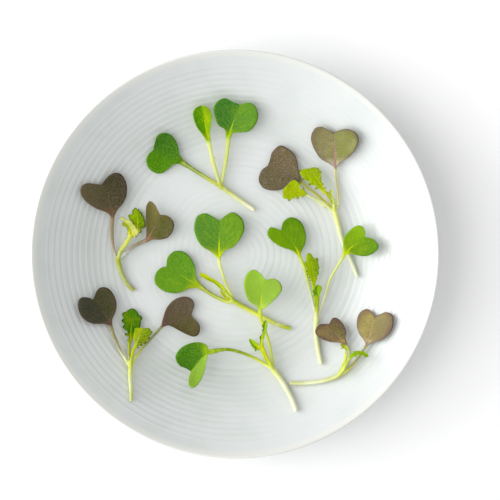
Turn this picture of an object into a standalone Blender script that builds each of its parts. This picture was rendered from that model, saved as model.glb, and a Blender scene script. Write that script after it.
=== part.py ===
"""Mustard microgreens lying in a round ribbed porcelain dish.

Metres, +Z up. The dish stands on its foot ring at z = 0 with its axis on Z.
"""

import math
from dataclasses import dataclass

import bmesh
import bpy
from mathutils import Vector

for old in list(bpy.data.objects):
    bpy.data.objects.remove(old, do_unlink=True)

MM = 0.001

# Dish, in millimetres
RIM_RADIUS = 75.0
RIM_ROLL = 1.85
RIM_ROLL_HEIGHT = 18.15
FLOOR_HEIGHT = 5.0
FLOOR_EDGE = 44.0
WALL_EDGE = 50.0
WALL_SLOPE = 0.55
RIB_PITCH = 2.32
RIB_HEIGHT = 0.17
RIB_END = 70.4
FOOT_OUTER = 45.2
FOOT_INNER = 42.0
UNDERSIDE = 1.4
OUTER_WALL = ((62.0, 9.6), (51.5, 3.4), (46.6, 1.3))
FOOT_CHAMFER = (0.4, 0.3)
DISH_SEGMENTS = 44

# The seedlings are laid out on a plan in millimetres about the dish's axis, as seen at the
# rim's height from this far above it
PLAN_EYE = 800.0

# Seedlings, in millimetres
STEM_RADIUS = 0.74
STEM_SHARE_AT_ROOT = 0.92
STEM_SHARE_AT_CROWN = 1.06
STEM_SHARE_AT_TIP = 0.7
STALK_THICKNESS = 1.15
SHEATH_RADIUS = 0.6
BLADE_THICKNESS = 0.64
JOINT_GAP = 0.5
CROWN_TIP = 0.8
STALK_ROW = 4.0
SHEATH_ROW = 1.65
TUBE_RESOLUTION = 1
CURVE_STEPS = 12
WELD = 0.01

# Thickness of a leaf's sheet from its middle to its edge, as shares of STALK_THICKNESS
ROUND_SECTION = (1.0, 0.86, 0.42)
FLAT_SHARE = BLADE_THICKNESS / STALK_THICKNESS
FLAT_SECTION = (1.25 * FLAT_SHARE, FLAT_SHARE, FLAT_SHARE)
FLAT_FROM = 0.45
HALFWAY_SAG = 0.12
EDGE_LIFT_POWER = 0.75


def principled(name, colour, roughness):
    """A plain material with the given linear colour."""
    material = bpy.data.materials.new(name)
    material.use_nodes = True
    shader = material.node_tree.nodes["Principled BSDF"]
    shader.inputs["Base Color"].default_value = (*colour, 1.0)
    shader.inputs["Roughness"].default_value = roughness
    shader.inputs["Metallic"].default_value = 0.0
    return material


PORCELAIN = principled("porcelain", (0.80, 0.81, 0.80), 0.18)
GREEN = principled("green_seed_leaf", (0.13, 0.30, 0.03), 0.55)
PURPLE = principled("purple_seed_leaf", (0.10, 0.07, 0.04), 0.55)
YOUNG = principled("young_true_leaf", (0.30, 0.45, 0.01), 0.50)
STEM = principled("pale_stem", (0.55, 0.60, 0.16), 0.45)

tray = bpy.data.collections.new("mustard_microgreens_tray")
bpy.context.scene.collection.children.link(tray)


def add_object(name, mesh, material):
    """Link a finished mesh as a named piece of the tray."""
    mesh.name = name
    mesh.materials.clear()
    mesh.materials.append(material)
    piece = bpy.data.objects.new(name, mesh)
    tray.objects.link(piece)
    return piece


def dish_height(radius):
    """Height of the dish's upper face without its ribs."""
    if radius < FLOOR_EDGE:
        return FLOOR_HEIGHT
    if radius < WALL_EDGE:
        run = radius - FLOOR_EDGE
        return FLOOR_HEIGHT + WALL_SLOPE * run * run / (2 * (WALL_EDGE - FLOOR_EDGE))
    return FLOOR_HEIGHT + WALL_SLOPE * (radius - (FLOOR_EDGE + WALL_EDGE) / 2)


def dish_slope(radius):
    """Slope of the upper face: flat floor, short bend, straight wall."""
    bend = (radius - FLOOR_EDGE) / (WALL_EDGE - FLOOR_EDGE)
    return WALL_SLOPE * min(max(bend, 0.0), 1.0)


def dish_profile():
    """Outline from the centre over the ribs and the rim, down to the foot and back."""
    outline = []
    radius = 0.0
    crest = 1
    while radius < RIB_END:
        outline.append((radius, dish_height(radius) + crest * RIB_HEIGHT))
        radius += RIB_PITCH / 2 * math.cos(math.atan(dish_slope(radius)))
        crest = -crest
    centre = RIM_RADIUS - RIM_ROLL
    for angle in (165, 125, 85, 42, 0, -35, -70):
        across = RIM_ROLL * math.cos(math.radians(angle))
        up = RIM_ROLL * math.sin(math.radians(angle))
        outline.append((centre + across, RIM_ROLL_HEIGHT + up))
    outline += OUTER_WALL
    outline += [(FOOT_OUTER + FOOT_CHAMFER[0], FOOT_CHAMFER[1]), (FOOT_OUTER, 0.0)]
    outline += [(FOOT_INNER, 0.0), (FOOT_INNER - FOOT_CHAMFER[0], UNDERSIDE / 2)]
    outline += [(FOOT_INNER - 2 * UNDERSIDE, UNDERSIDE), (0.0, UNDERSIDE)]
    return outline


def build_dish():
    """Turn the profile about the axis."""
    bm = bmesh.new()
    corners = [bm.verts.new((radius * MM, 0.0, height * MM)) for radius, height in dish_profile()]
    for start, end in zip(corners, corners[1:]):
        bm.edges.new((start, end))
    mesh = bpy.data.meshes.new("dish")
    bm.to_mesh(mesh)
    bm.free()
    dish = add_object("dish", mesh, PORCELAIN)
    screw = dish.modifiers.new("turn", "SCREW")
    screw.axis = "Z"
    screw.angle = math.tau
    screw.steps = DISH_SEGMENTS
    screw.render_steps = DISH_SEGMENTS
    screw.use_merge_vertices = True
    screw.merge_threshold = WELD * MM
    screw.use_smooth_shade = True


def place(point):
    """Point in the dish for a plan point whose third value is its height above the dish in mm."""
    across, along, lift = point
    height = FLOOR_HEIGHT
    for _ in range(4):
        spread = 1 + (RIM_ROLL_HEIGHT - height) / PLAN_EYE
        radius = math.hypot(across, along) * spread
        height = dish_height(radius) + lift * math.hypot(1.0, dish_slope(radius))
    return Vector((across * spread, along * spread, height)) * MM


def smooth(points, count, start=0.0, end=None):
    """Evenly spaced samples of the curve through the points, from one distance to another."""
    knots = [Vector(point) for point in points]
    knots = [2 * knots[0] - knots[1]] + knots + [2 * knots[-1] - knots[-2]]
    track = [knots[1]]
    for a, b, c, d in zip(knots, knots[1:], knots[2:], knots[3:]):
        for step in range(1, CURVE_STEPS + 1):
            t = step / CURVE_STEPS
            bend = (2 * a - 5 * b + 4 * c - d) * t * t + (3 * b - a - 3 * c + d) * t ** 3
            track.append(0.5 * (2 * b + (c - a) * t + bend))
    reach = [0.0]
    for here, there in zip(track, track[1:]):
        reach.append(reach[-1] + (there - here).length)
    last = reach[-1] if end is None else end
    samples = []
    k = 0
    for step in range(count + 1):
        goal = start + (last - start) * step / count
        while k < len(reach) - 2 and reach[k + 1] < goal:
            k += 1
        share = (goal - reach[k]) / (reach[k + 1] - reach[k])
        samples.append(track[k].lerp(track[k + 1], share))
    return samples


@dataclass
class Leaf:
    """One leaf with its stalk, on the plan.

    The stalk runs from the crown to the blade's base, the vein from there to the blade's tip
    or notch, and the two sides go round the blade from its base to the same end.
    """

    part: str
    material: bpy.types.Material
    stalk: list
    vein: list
    left: list
    right: list
    joint: float = 3.3
    lift: tuple = (1.2, 1.2)
    reed: float = 0.53
    teeth: float = 0.0
    rows: int = 11


def flank_sign(base, sideways, side):
    """+1 where a side of the blade lies along sideways, -1 where it lies against it."""
    return 1.0 if (Vector(side[0]) - base.to_2d()).dot(sideways) > 0 else -1.0


def edge_line(base, sideways, side, leaf):
    """Outline of one side, from the stalk's flank to the blade's end."""
    flank = base.to_2d() + sideways * flank_sign(base, sideways, side) * leaf.reed
    line = [(*flank, 0.0)] + [(*point, 0.0) for point in side] + [(*leaf.vein[-1][:2], 0.0)]
    return smooth(line, leaf.rows)


def leaf_rows(leaf, crown):
    """Rows of the leaf's sheet, each with its middle, its two edges and how flat it is."""
    stalk_line = [crown] + leaf.stalk
    length = sum((Vector(a) - Vector(b)).length for a, b in zip(stalk_line, stalk_line[1:]))
    count = max(2, round((length - leaf.joint) / STALK_ROW))
    stalk = smooth(stalk_line, count, start=leaf.joint + JOINT_GAP)
    vein = smooth([leaf.stalk[-1]] + leaf.vein, leaf.rows)
    base = stalk[-1]
    ahead = (stalk[-1] - stalk[-2]).to_2d().normalized()
    sideways = Vector((-ahead.y, ahead.x))
    hand = flank_sign(base, sideways, leaf.left)
    sides = (edge_line(base, sideways, leaf.left, leaf), edge_line(base, sideways, leaf.right, leaf))

    rows = []
    for step in range(count):
        run = stalk[step + 1] - stalk[max(step - 1, 0)]
        across = Vector((-run.y, run.x, 0.0)).normalized() * hand * leaf.reed
        rows.append((stalk[step], stalk[step] + across, stalk[step] - across, 0.0))
    for step in range(leaf.rows + 1):
        t = step / leaf.rows
        inside = 0 < step < leaf.rows
        swell = math.sin(math.pi * t) ** EDGE_LIFT_POWER if inside else 0.0
        middle = vein[step]
        edges = []
        for side, lift in zip(sides, leaf.lift):
            edge = side[step].copy()
            edge.z = middle.z + lift * swell
            if inside:
                edge += (edge - middle) * leaf.teeth * (1 if step % 2 else -1)
            edges.append(edge)
        rows.append((middle, *edges, min(1.0, t / FLAT_FROM)))
    return rows


def build_leaf(name, leaf, crown):
    """A sheet, narrow along the stalk and wide over the blade, given a round or flat section."""
    rows = leaf_rows(leaf, crown)
    bm = bmesh.new()
    weights = bm.verts.layers.deform.verify()
    bmesh.ops.create_grid(bm, x_segments=4, y_segments=len(rows) - 1, size=1.0)
    grid = sorted(bm.verts, key=lambda vert: (round(vert.co.y, 4), round(vert.co.x, 4)))
    for index, vert in enumerate(grid):
        row, column = divmod(index, 5)
        middle, left, right, flat = rows[row]
        out = abs(column - 2)
        edge = left if column < 2 else right
        point = middle.lerp(edge, out / 2)
        if out == 1:
            point.z -= HALFWAY_SAG * abs(edge.z - middle.z)
        vert.co = place(point)
        vert[weights][0] = ROUND_SECTION[out] + (FLAT_SECTION[out] - ROUND_SECTION[out]) * flat
    bmesh.ops.remove_doubles(bm, verts=grid[-5:], dist=WELD * MM)
    bm.normal_update()
    if sum(face.normal.z for face in bm.faces) < 0:
        bmesh.ops.reverse_faces(bm, faces=bm.faces)
    bmesh.ops.triangulate(bm, faces=bm.faces)
    mesh = bpy.data.meshes.new(name)
    bm.to_mesh(mesh)
    bm.free()
    mesh.shade_smooth()
    piece = add_object(name, mesh, leaf.material)
    piece.vertex_groups.new(name="thickness")
    solid = piece.modifiers.new("thicken", "SOLIDIFY")
    solid.thickness = STALK_THICKNESS * MM
    solid.offset = 0.0
    solid.vertex_group = "thickness"


def tube(name, line, radii):
    """A round tube along plan points, as a closed mesh object."""
    curve = bpy.data.curves.new(name, "CURVE")
    curve.dimensions = "3D"
    curve.bevel_depth = MM
    curve.bevel_resolution = TUBE_RESOLUTION
    curve.use_fill_caps = True
    spline = curve.splines.new("POLY")
    spline.points.add(len(line) - 1)
    for point, spot, radius in zip(spline.points, line, radii):
        point.co = (*place(spot), 1.0)
        point.radius = radius
    guide = bpy.data.objects.new(name + "_guide", curve)
    tray.objects.link(guide)
    bpy.context.view_layer.update()
    depsgraph = bpy.context.evaluated_depsgraph_get()
    mesh = bpy.data.meshes.new_from_object(guide.evaluated_get(depsgraph))
    bpy.data.objects.remove(guide, do_unlink=True)
    bpy.data.curves.remove(curve)
    bm = bmesh.new()
    bm.from_mesh(mesh)
    bmesh.ops.remove_doubles(bm, verts=bm.verts, dist=WELD * MM)
    bmesh.ops.recalc_face_normals(bm, faces=bm.faces)
    bm.to_mesh(mesh)
    bm.free()
    return mesh


def build_stem(name, root, crown, leaves):
    """The stem up to its crown, with the short sheaths that the leaf stalks grow out of."""
    count = max(5, len(root) + 2)
    line = smooth(root + [crown], count)
    line.append(line[-1] + (line[-1] - line[-2]).normalized() * CROWN_TIP)
    growth = (STEM_SHARE_AT_CROWN - STEM_SHARE_AT_ROOT) / count
    radii = [STEM_RADIUS * (STEM_SHARE_AT_ROOT + growth * step) for step in range(count + 1)]
    radii.append(STEM_RADIUS * STEM_SHARE_AT_TIP)
    stem = add_object(name, tube(name, line, radii), STEM)
    sheaths = bpy.data.collections.new(name + "_sheaths")
    bpy.context.scene.collection.children.link(sheaths)
    for number, leaf in enumerate(leaves):
        steps = max(2, round(leaf.joint / SHEATH_ROW))
        run = smooth([crown] + leaf.stalk, steps, end=leaf.joint)
        mesh = tube("sheath", run, [SHEATH_RADIUS] * len(run))
        sheath = bpy.data.objects.new(f"{name}_sheath{number}", mesh)
        sheaths.objects.link(sheath)
    union = stem.modifiers.new("join_sheaths", "BOOLEAN")
    union.operation = "UNION"
    union.operand_type = "COLLECTION"
    union.collection = sheaths
    union.solver = "EXACT"
    bpy.context.view_layer.update()
    depsgraph = bpy.context.evaluated_depsgraph_get()
    joined = bpy.data.meshes.new_from_object(stem.evaluated_get(depsgraph))
    stem.modifiers.clear()
    stem.data = joined
    joined.materials.clear()
    joined.materials.append(STEM)
    joined.shade_smooth()
    for sheath in list(sheaths.objects):
        bpy.data.objects.remove(sheath, do_unlink=True)
    bpy.data.collections.remove(sheaths)


def build_seedling(name, root, crown, leaves):
    """One cut seedling: its stem and each of its leaves."""
    build_stem(name + "_stem", root, crown, leaves)
    for leaf in leaves:
        build_leaf(f"{name}_{leaf.part}", leaf, crown)


build_dish()

# Green seedling at the back left
build_seedling(
    "seedling1",
    root=[(7.0, 16.1, 1.3), (3.3, 18.7, 1.3), (-1.1, 21.8, 1.4)],
    crown=(-5.3, 24.8, 1.6),
    leaves=[
        Leaf(
            "seed_leaf_left", GREEN,
            stalk=[(-9.2, 27.1, 1.6), (-14.3, 30.3, 1.6), (-20.0, 34.0, 1.7)],
            vein=[(-24.6, 35.9, 1.4), (-30.1, 38.2, 1.4)],
            left=[(-22.7, 32.9), (-24.6, 31.2), (-27.0, 29.6), (-29.7, 29.9), (-32.0, 31.9),
                  (-32.6, 34.7), (-31.6, 36.8)],
            right=[(-20.4, 36.7), (-21.2, 40.3), (-23.3, 43.5), (-25.9, 44.5), (-28.4, 43.6),
                   (-29.4, 41.3)],
            joint=2.9, lift=(0.6, 1.0),
        ),
        Leaf(
            "seed_leaf_right", GREEN,
            stalk=[(-4.4, 29.3, 1.9), (-3.1, 36.3, 2.4), (-2.5, 42.9, 2.9)],
            vein=[(-1.3, 46.6, 2.8), (0.0, 50.2, 2.5), (1.8, 54.8, 2.4)],
            left=[(-3.9, 45.7), (-6.2, 47.3), (-7.5, 50.6), (-7.9, 53.7), (-6.2, 56.3),
                  (-3.5, 57.2), (-0.9, 55.9)],
            right=[(-0.6, 44.3), (2.2, 44.6), (5.3, 45.1), (7.7, 47.9), (8.5, 51.2),
                   (7.2, 54.5), (4.6, 55.6)],
            joint=3.3, lift=(1.9, 1.2),
        ),
        Leaf(
            "true_leaf", YOUNG,
            stalk=[(-6.4, 28.2, 2.6), (-8.0, 33.7, 3.4), (-9.9, 41.8, 3.4)],
            vein=[(-10.8, 46.9, 2.6), (-11.7, 51.0, 2.4), (-12.5, 54.6, 2.6)],
            left=[(-11.9, 43.6), (-14.2, 46.8), (-15.5, 51.0), (-14.7, 53.4)],
            right=[(-9.2, 44.7), (-8.6, 48.8), (-8.6, 51.5), (-10.2, 53.9)],
            joint=3.3, lift=(1.6, 1.9), reed=0.59, rows=8,
        ),
    ],
)

# Purple seedling at the back right
build_seedling(
    "seedling2",
    root=[(44.8, -8.4, 1.3), (42.2, -1.8, 1.3), (39.3, 5.0, 1.3), (37.7, 11.0, 1.3)],
    crown=(36.5, 15.6, 1.6),
    leaves=[
        Leaf(
            "seed_leaf_left", PURPLE,
            stalk=[(33.7, 18.5, 1.6), (29.9, 21.7, 1.6), (26.4, 24.4, 1.8), (23.9, 26.8, 2.0)],
            vein=[(19.8, 28.8, 1.7), (16.1, 30.4, 1.5), (11.9, 32.4, 1.5)],
            left=[(21.3, 26.3), (19.1, 25.3), (16.9, 23.7), (13.4, 23.3), (10.1, 24.4),
                  (8.6, 27.3), (9.7, 30.7)],
            right=[(23.4, 30.1), (22.3, 35.5), (19.7, 38.4), (16.5, 39.8), (13.6, 37.4),
                   (12.7, 34.5)],
            joint=4.4, lift=(0.3, 0.5), reed=0.44,
        ),
        Leaf(
            "seed_leaf_right", PURPLE,
            stalk=[(37.7, 18.7, 1.6), (37.9, 22.0, 1.7), (37.0, 27.1, 1.9), (36.8, 31.9, 2.2)],
            vein=[(36.6, 38.1, 1.8), (36.3, 44.6, 1.7)],
            left=[(34.5, 33.1), (31.2, 35.1), (28.8, 38.9), (27.8, 42.7), (29.2, 46.0),
                  (31.7, 46.7), (34.5, 45.4)],
            right=[(38.9, 33.8), (41.8, 35.6), (44.3, 38.6), (45.4, 41.8), (44.2, 44.6),
                   (41.1, 45.9), (38.5, 45.5)],
            joint=3.7, lift=(1.2, 1.4), reed=0.50,
        ),
        Leaf(
            "true_leaf_left", YOUNG,
            stalk=[(34.1, 17.3, 2.6), (30.4, 19.6, 3.3), (25.9, 21.9, 3.4)],
            vein=[(22.0, 22.9, 3.4), (17.8, 21.8, 3.3)],
            left=[(24.6, 21.0), (22.7, 20.4), (20.4, 20.0), (18.2, 20.2)],
            right=[(25.1, 23.8), (23.9, 25.8), (21.9, 27.2), (19.7, 26.2), (18.0, 24.0)],
            joint=5.1, lift=(0.2, 0.9), reed=0.50, teeth=0.07, rows=9,
        ),
        Leaf(
            "true_leaf_back", YOUNG,
            stalk=[(35.6, 18.9, 3.0), (33.7, 22.2, 4.2)],
            vein=[(31.2, 25.7, 4.3), (28.6, 28.8, 3.9), (26.2, 31.1, 3.6)],
            left=[(31.7, 23.2), (28.9, 24.6), (25.9, 27.1), (23.9, 29.0), (24.1, 30.7)],
            right=[(33.1, 24.0), (31.6, 27.0), (31.5, 30.1), (29.7, 31.8), (27.9, 31.7)],
            joint=3.3, lift=(0.5, 1.0), reed=0.50, teeth=0.07, rows=9,
        ),
        Leaf(
            "true_leaf_bud", YOUNG,
            stalk=[(36.4, 17.8, 3.8), (36.1, 20.0, 5.4)],
            vein=[(35.4, 21.5, 5.8), (35.1, 23.1, 6.0)],
            left=[(34.9, 20.6), (34.4, 22.3)],
            right=[(36.2, 21.1), (35.9, 22.8)],
            joint=3.5, lift=(0.6, 0.6), reed=0.44, rows=4,
        ),
    ],
)

# Purple seedling at the left
build_seedling(
    "seedling3",
    root=[(-37.0, -13.5, 1.3), (-39.6, -11.0, 1.3), (-41.7, -7.1, 1.3)],
    crown=(-43.0, -2.5, 1.6),
    leaves=[
        Leaf(
            "seed_leaf_left", PURPLE,
            stalk=[(-44.4, 1.1, 1.6), (-45.2, 6.6, 1.6), (-45.0, 13.9, 1.8)],
            vein=[(-46.0, 18.0, 1.6), (-47.7, 21.8, 1.4), (-49.1, 25.5, 1.4)],
            left=[(-47.3, 15.3), (-51.0, 16.7), (-54.5, 19.1), (-56.6, 22.0), (-56.4, 24.8),
                  (-54.1, 26.0), (-51.3, 25.7)],
            right=[(-43.3, 16.0), (-41.0, 18.8), (-39.8, 22.0), (-39.9, 25.9), (-41.6, 29.1),
                   (-44.0, 29.8), (-46.6, 28.5)],
            joint=3.3, lift=(0.7, 0.9), reed=0.55,
        ),
        Leaf(
            "seed_leaf_right", PURPLE,
            stalk=[(-40.2, 0.7, 1.6), (-36.7, 3.2, 1.6), (-32.5, 5.1, 1.8)],
            vein=[(-30.6, 8.3, 2.2), (-29.0, 11.4, 2.8), (-27.5, 14.4, 3.4)],
            left=[(-32.6, 8.4), (-32.7, 12.8), (-32.7, 17.2), (-31.4, 19.4), (-29.5, 18.2),
                  (-28.3, 15.9)],
            right=[(-30.3, 5.3), (-27.5, 5.3), (-24.6, 6.2), (-22.7, 8.9), (-22.6, 11.7),
                   (-24.4, 13.8), (-26.2, 14.3)],
            joint=4.0, lift=(3.6, 0.4), reed=0.51,
        ),
        Leaf(
            "true_leaf_back", YOUNG,
            stalk=[(-41.4, 1.5, 1.9), (-39.1, 5.1, 1.7), (-36.0, 8.3, 1.6)],
            vein=[(-35.8, 12.5, 1.5), (-36.6, 16.6, 1.4)],
            left=[(-37.0, 10.1), (-38.3, 12.2), (-39.0, 14.4), (-37.8, 16.1)],
            right=[(-34.5, 8.7), (-33.3, 10.5), (-33.5, 13.0), (-34.7, 15.6)],
            joint=4.4, lift=(0.4, 0.4), reed=0.48, teeth=0.06, rows=9,
        ),
        Leaf(
            "true_leaf_front", YOUNG,
            stalk=[(-42.2, 0.9, 3.5), (-40.0, 4.0, 4.5), (-38.1, 7.3, 4.6)],
            vein=[(-39.2, 10.5, 4.6), (-42.3, 13.3, 4.0)],
            left=[(-39.4, 7.7), (-39.9, 9.7), (-41.4, 11.1)],
            right=[(-35.8, 7.5), (-36.4, 9.9), (-38.7, 12.2), (-40.7, 13.3)],
            joint=4.4, lift=(-0.7, -0.6), reed=0.66, teeth=0.06, rows=8,
        ),
    ],
)

# Purple seedling at the front left
build_seedling(
    "seedling4",
    root=[(-38.0, -54.0, 1.3), (-38.1, -49.9, 1.3), (-38.4, -45.5, 1.3)],
    crown=(-38.3, -41.6, 1.6),
    leaves=[
        Leaf(
            "seed_leaf_left", PURPLE,
            stalk=[(-40.2, -38.5, 1.6), (-43.1, -33.2, 1.6), (-45.7, -26.0, 1.8)],
            vein=[(-48.0, -22.0, 1.4), (-52.1, -16.6, 1.3)],
            left=[(-48.4, -25.6), (-51.7, -25.6), (-54.5, -24.6), (-56.7, -22.4), (-57.7, -19.3),
                  (-57.0, -16.4), (-54.8, -15.8)],
            right=[(-45.0, -23.8), (-43.9, -21.3), (-43.5, -18.2), (-44.7, -14.7), (-46.8, -12.5),
                   (-49.0, -12.2), (-50.7, -13.4)],
            joint=4.8, lift=(0.7, 0.7), reed=0.51,
        ),
        Leaf(
            "seed_leaf_right", PURPLE,
            stalk=[(-37.0, -38.7, 1.6), (-34.5, -35.1, 1.6), (-30.6, -30.7, 1.6), (-26.7, -26.4, 1.7)],
            vein=[(-23.1, -24.8, 1.4), (-19.8, -23.8, 1.3), (-16.1, -22.6, 1.4)],
            left=[(-26.5, -23.5), (-25.2, -19.9), (-22.7, -17.0), (-19.1, -15.6), (-16.0, -16.5),
                  (-15.0, -18.9), (-15.8, -21.3)],
            right=[(-24.2, -26.2), (-20.9, -27.9), (-17.6, -29.6), (-14.9, -30.3), (-13.2, -29.0),
                   (-13.1, -26.0), (-14.9, -23.9)],
            joint=5.1, lift=(1.5, 1.6), reed=0.48,
        ),
        Leaf(
            "true_leaf_back", YOUNG,
            stalk=[(-38.7, -38.5, 2.4), (-38.8, -35.2, 2.4), (-38.7, -32.3, 2.0)],
            vein=[(-38.1, -26.0, 1.5), (-37.9, -20.1, 1.3)],
            left=[(-40.1, -30.3), (-41.1, -26.6), (-41.5, -23.5), (-40.7, -21.1)],
            right=[(-36.9, -29.9), (-35.1, -26.8), (-34.5, -23.5), (-35.9, -21.0)],
            joint=4.4, lift=(0.5, 0.5), reed=0.50, teeth=0.06, rows=11,
        ),
        Leaf(
            "true_leaf_front", YOUNG,
            stalk=[(-38.1, -39.1, 3.6), (-37.4, -35.6, 4.7), (-36.3, -33.4, 4.8)],
            vein=[(-35.4, -30.6, 4.6), (-33.7, -27.2, 4.2)],
            left=[(-36.8, -31.5), (-36.9, -29.0), (-35.9, -27.1)],
            right=[(-35.2, -34.2), (-33.3, -33.0), (-31.5, -30.8), (-30.9, -28.4), (-31.9, -27.1)],
            joint=4.4, lift=(0.6, -0.5), reed=0.50, teeth=0.07, rows=9,
        ),
    ],
)

# Green seedling in the middle
build_seedling(
    "seedling5",
    root=[(20.6, -27.5, 1.3), (14.3, -25.3, 1.3), (8.3, -22.2, 1.3), (3.7, -19.8, 1.3)],
    crown=(0.2, -17.7, 1.6),
    leaves=[
        Leaf(
            "seed_leaf_back", GREEN,
            stalk=[(-1.5, -15.0, 1.7), (-3.9, -9.4, 1.9), (-5.5, -4.4, 2.2), (-6.0, -1.3, 2.3)],
            vein=[(-5.9, 5.1, 2.0), (-5.7, 12.3, 1.9)],
            left=[(-8.6, 0.6), (-11.9, 2.6), (-14.0, 5.4), (-15.1, 9.4), (-14.1, 13.6),
                  (-11.2, 15.0), (-8.4, 13.9)],
            right=[(-3.7, 1.2), (-0.7, 2.7), (1.8, 5.5), (3.4, 9.2), (2.5, 13.0),
                   (-0.6, 15.3), (-3.2, 14.4)],
            joint=3.7, lift=(1.5, 1.5), reed=0.51,
        ),
        Leaf(
            "seed_leaf_left", GREEN,
            stalk=[(-2.9, -17.5, 1.6), (-7.7, -15.4, 1.6), (-13.4, -11.7, 1.8)],
            vein=[(-17.2, -9.5, 1.5), (-20.9, -7.0, 1.3), (-25.3, -4.6, 1.3)],
            left=[(-16.5, -12.6), (-19.6, -13.9), (-22.9, -14.4), (-26.8, -13.3), (-29.4, -10.6),
                  (-29.2, -7.2), (-27.3, -5.1)],
            right=[(-14.4, -8.4), (-14.7, -4.7), (-16.6, -1.1), (-19.4, 1.0), (-22.6, 0.9),
                   (-24.8, -1.3)],
            joint=3.3, lift=(0.8, 0.8), reed=0.59,
        ),
        Leaf(
            "true_leaf_folded", YOUNG,
            stalk=[(-1.5, -16.0, 3.5), (-3.5, -13.9, 4.6)],
            vein=[(-5.9, -11.4, 4.3), (-9.4, -9.1, 3.6), (-13.0, -7.3, 2.8)],
            left=[(-5.1, -13.0), (-7.7, -10.9), (-11.4, -8.9)],
            right=[(-4.5, -12.0), (-7.2, -9.7), (-11.0, -7.7)],
            joint=3.5, lift=(0.7, 0.9), reed=0.51, rows=7,
        ),
        Leaf(
            "true_leaf_bud", YOUNG,
            stalk=[(-1.3, -17.1, 2.1), (-2.3, -16.4, 2.3)],
            vein=[(-3.7, -15.0, 2.5), (-5.1, -13.2, 2.4)],
            left=[(-3.4, -16.2), (-4.8, -14.3)],
            right=[(-2.7, -15.4), (-4.3, -13.3)],
            joint=2.3, lift=(0.3, 0.3), reed=0.44, rows=4,
        ),
    ],
)

# Green seedling at the front
build_seedling(
    "seedling6",
    root=[(22.4, -57.6, 1.3), (20.4, -52.4, 1.3), (17.1, -46.6, 1.3)],
    crown=(14.1, -42.6, 1.6),
    leaves=[
        Leaf(
            "seed_leaf_back", GREEN,
            stalk=[(13.4, -37.8, 2.2), (12.2, -31.9, 3.2), (10.3, -26.2, 4.0), (9.2, -22.7, 5.0),
                   (9.2, -20.2, 5.8)],
            vein=[(9.7, -15.4, 7.0), (11.1, -9.4, 8.4)],
            left=[(7.2, -18.8), (5.1, -17.4), (3.7, -14.3), (3.2, -10.8), (4.3, -7.2),
                  (6.8, -5.7), (9.3, -7.1)],
            right=[(11.2, -19.8), (13.2, -17.9), (15.6, -15.6), (17.2, -13.0), (16.6, -10.6),
                   (14.7, -9.1), (12.8, -9.1)],
            joint=4.4, lift=(1.8, 2.4), reed=0.51,
        ),
        Leaf(
            "seed_leaf_left", GREEN,
            stalk=[(11.0, -40.4, 1.7), (7.0, -38.1, 3.3), (1.8, -36.0, 6.0), (-3.3, -35.0, 7.2),
                   (-10.1, -36.0, 6.4)],
            vein=[(-13.2, -39.2, 5.4), (-16.3, -43.0, 4.2)],
            left=[(-10.1, -33.7), (-12.7, -32.4), (-16.1, -32.6), (-19.8, -34.4), (-21.9, -37.6),
                  (-20.7, -40.7), (-18.2, -41.9)],
            right=[(-10.4, -38.5), (-11.1, -42.4), (-12.5, -46.2), (-14.7, -48.9), (-16.8, -48.5),
                   (-17.1, -46.2), (-16.6, -44.2)],
            joint=3.7, lift=(1.6, 1.2), reed=0.53,
        ),
        Leaf(
            "true_leaf_back", YOUNG,
            stalk=[(12.8, -40.2, 4.4), (11.2, -36.7, 6.0), (9.7, -33.4, 6.2)],
            vein=[(9.9, -29.7, 6.2), (10.6, -27.1, 6.2), (11.1, -24.3, 6.4)],
            left=[(8.9, -30.8), (10.0, -26.8)],
            right=[(10.6, -30.4), (11.7, -26.6)],
            joint=4.8, lift=(0.5, 0.7), reed=0.50, rows=7,
        ),
        Leaf(
            "true_leaf_left", YOUNG,
            stalk=[(12.1, -40.0, 3.0), (10.3, -36.9, 3.6), (9.2, -34.4, 3.6)],
            vein=[(7.2, -33.4, 3.4), (5.3, -31.3, 3.0)],
            left=[(8.3, -35.3), (6.4, -34.2)],
            right=[(8.3, -32.9), (6.5, -31.8)],
            joint=4.8, lift=(0.4, 0.6), reed=0.48, rows=5,
        ),
    ],
)

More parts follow.
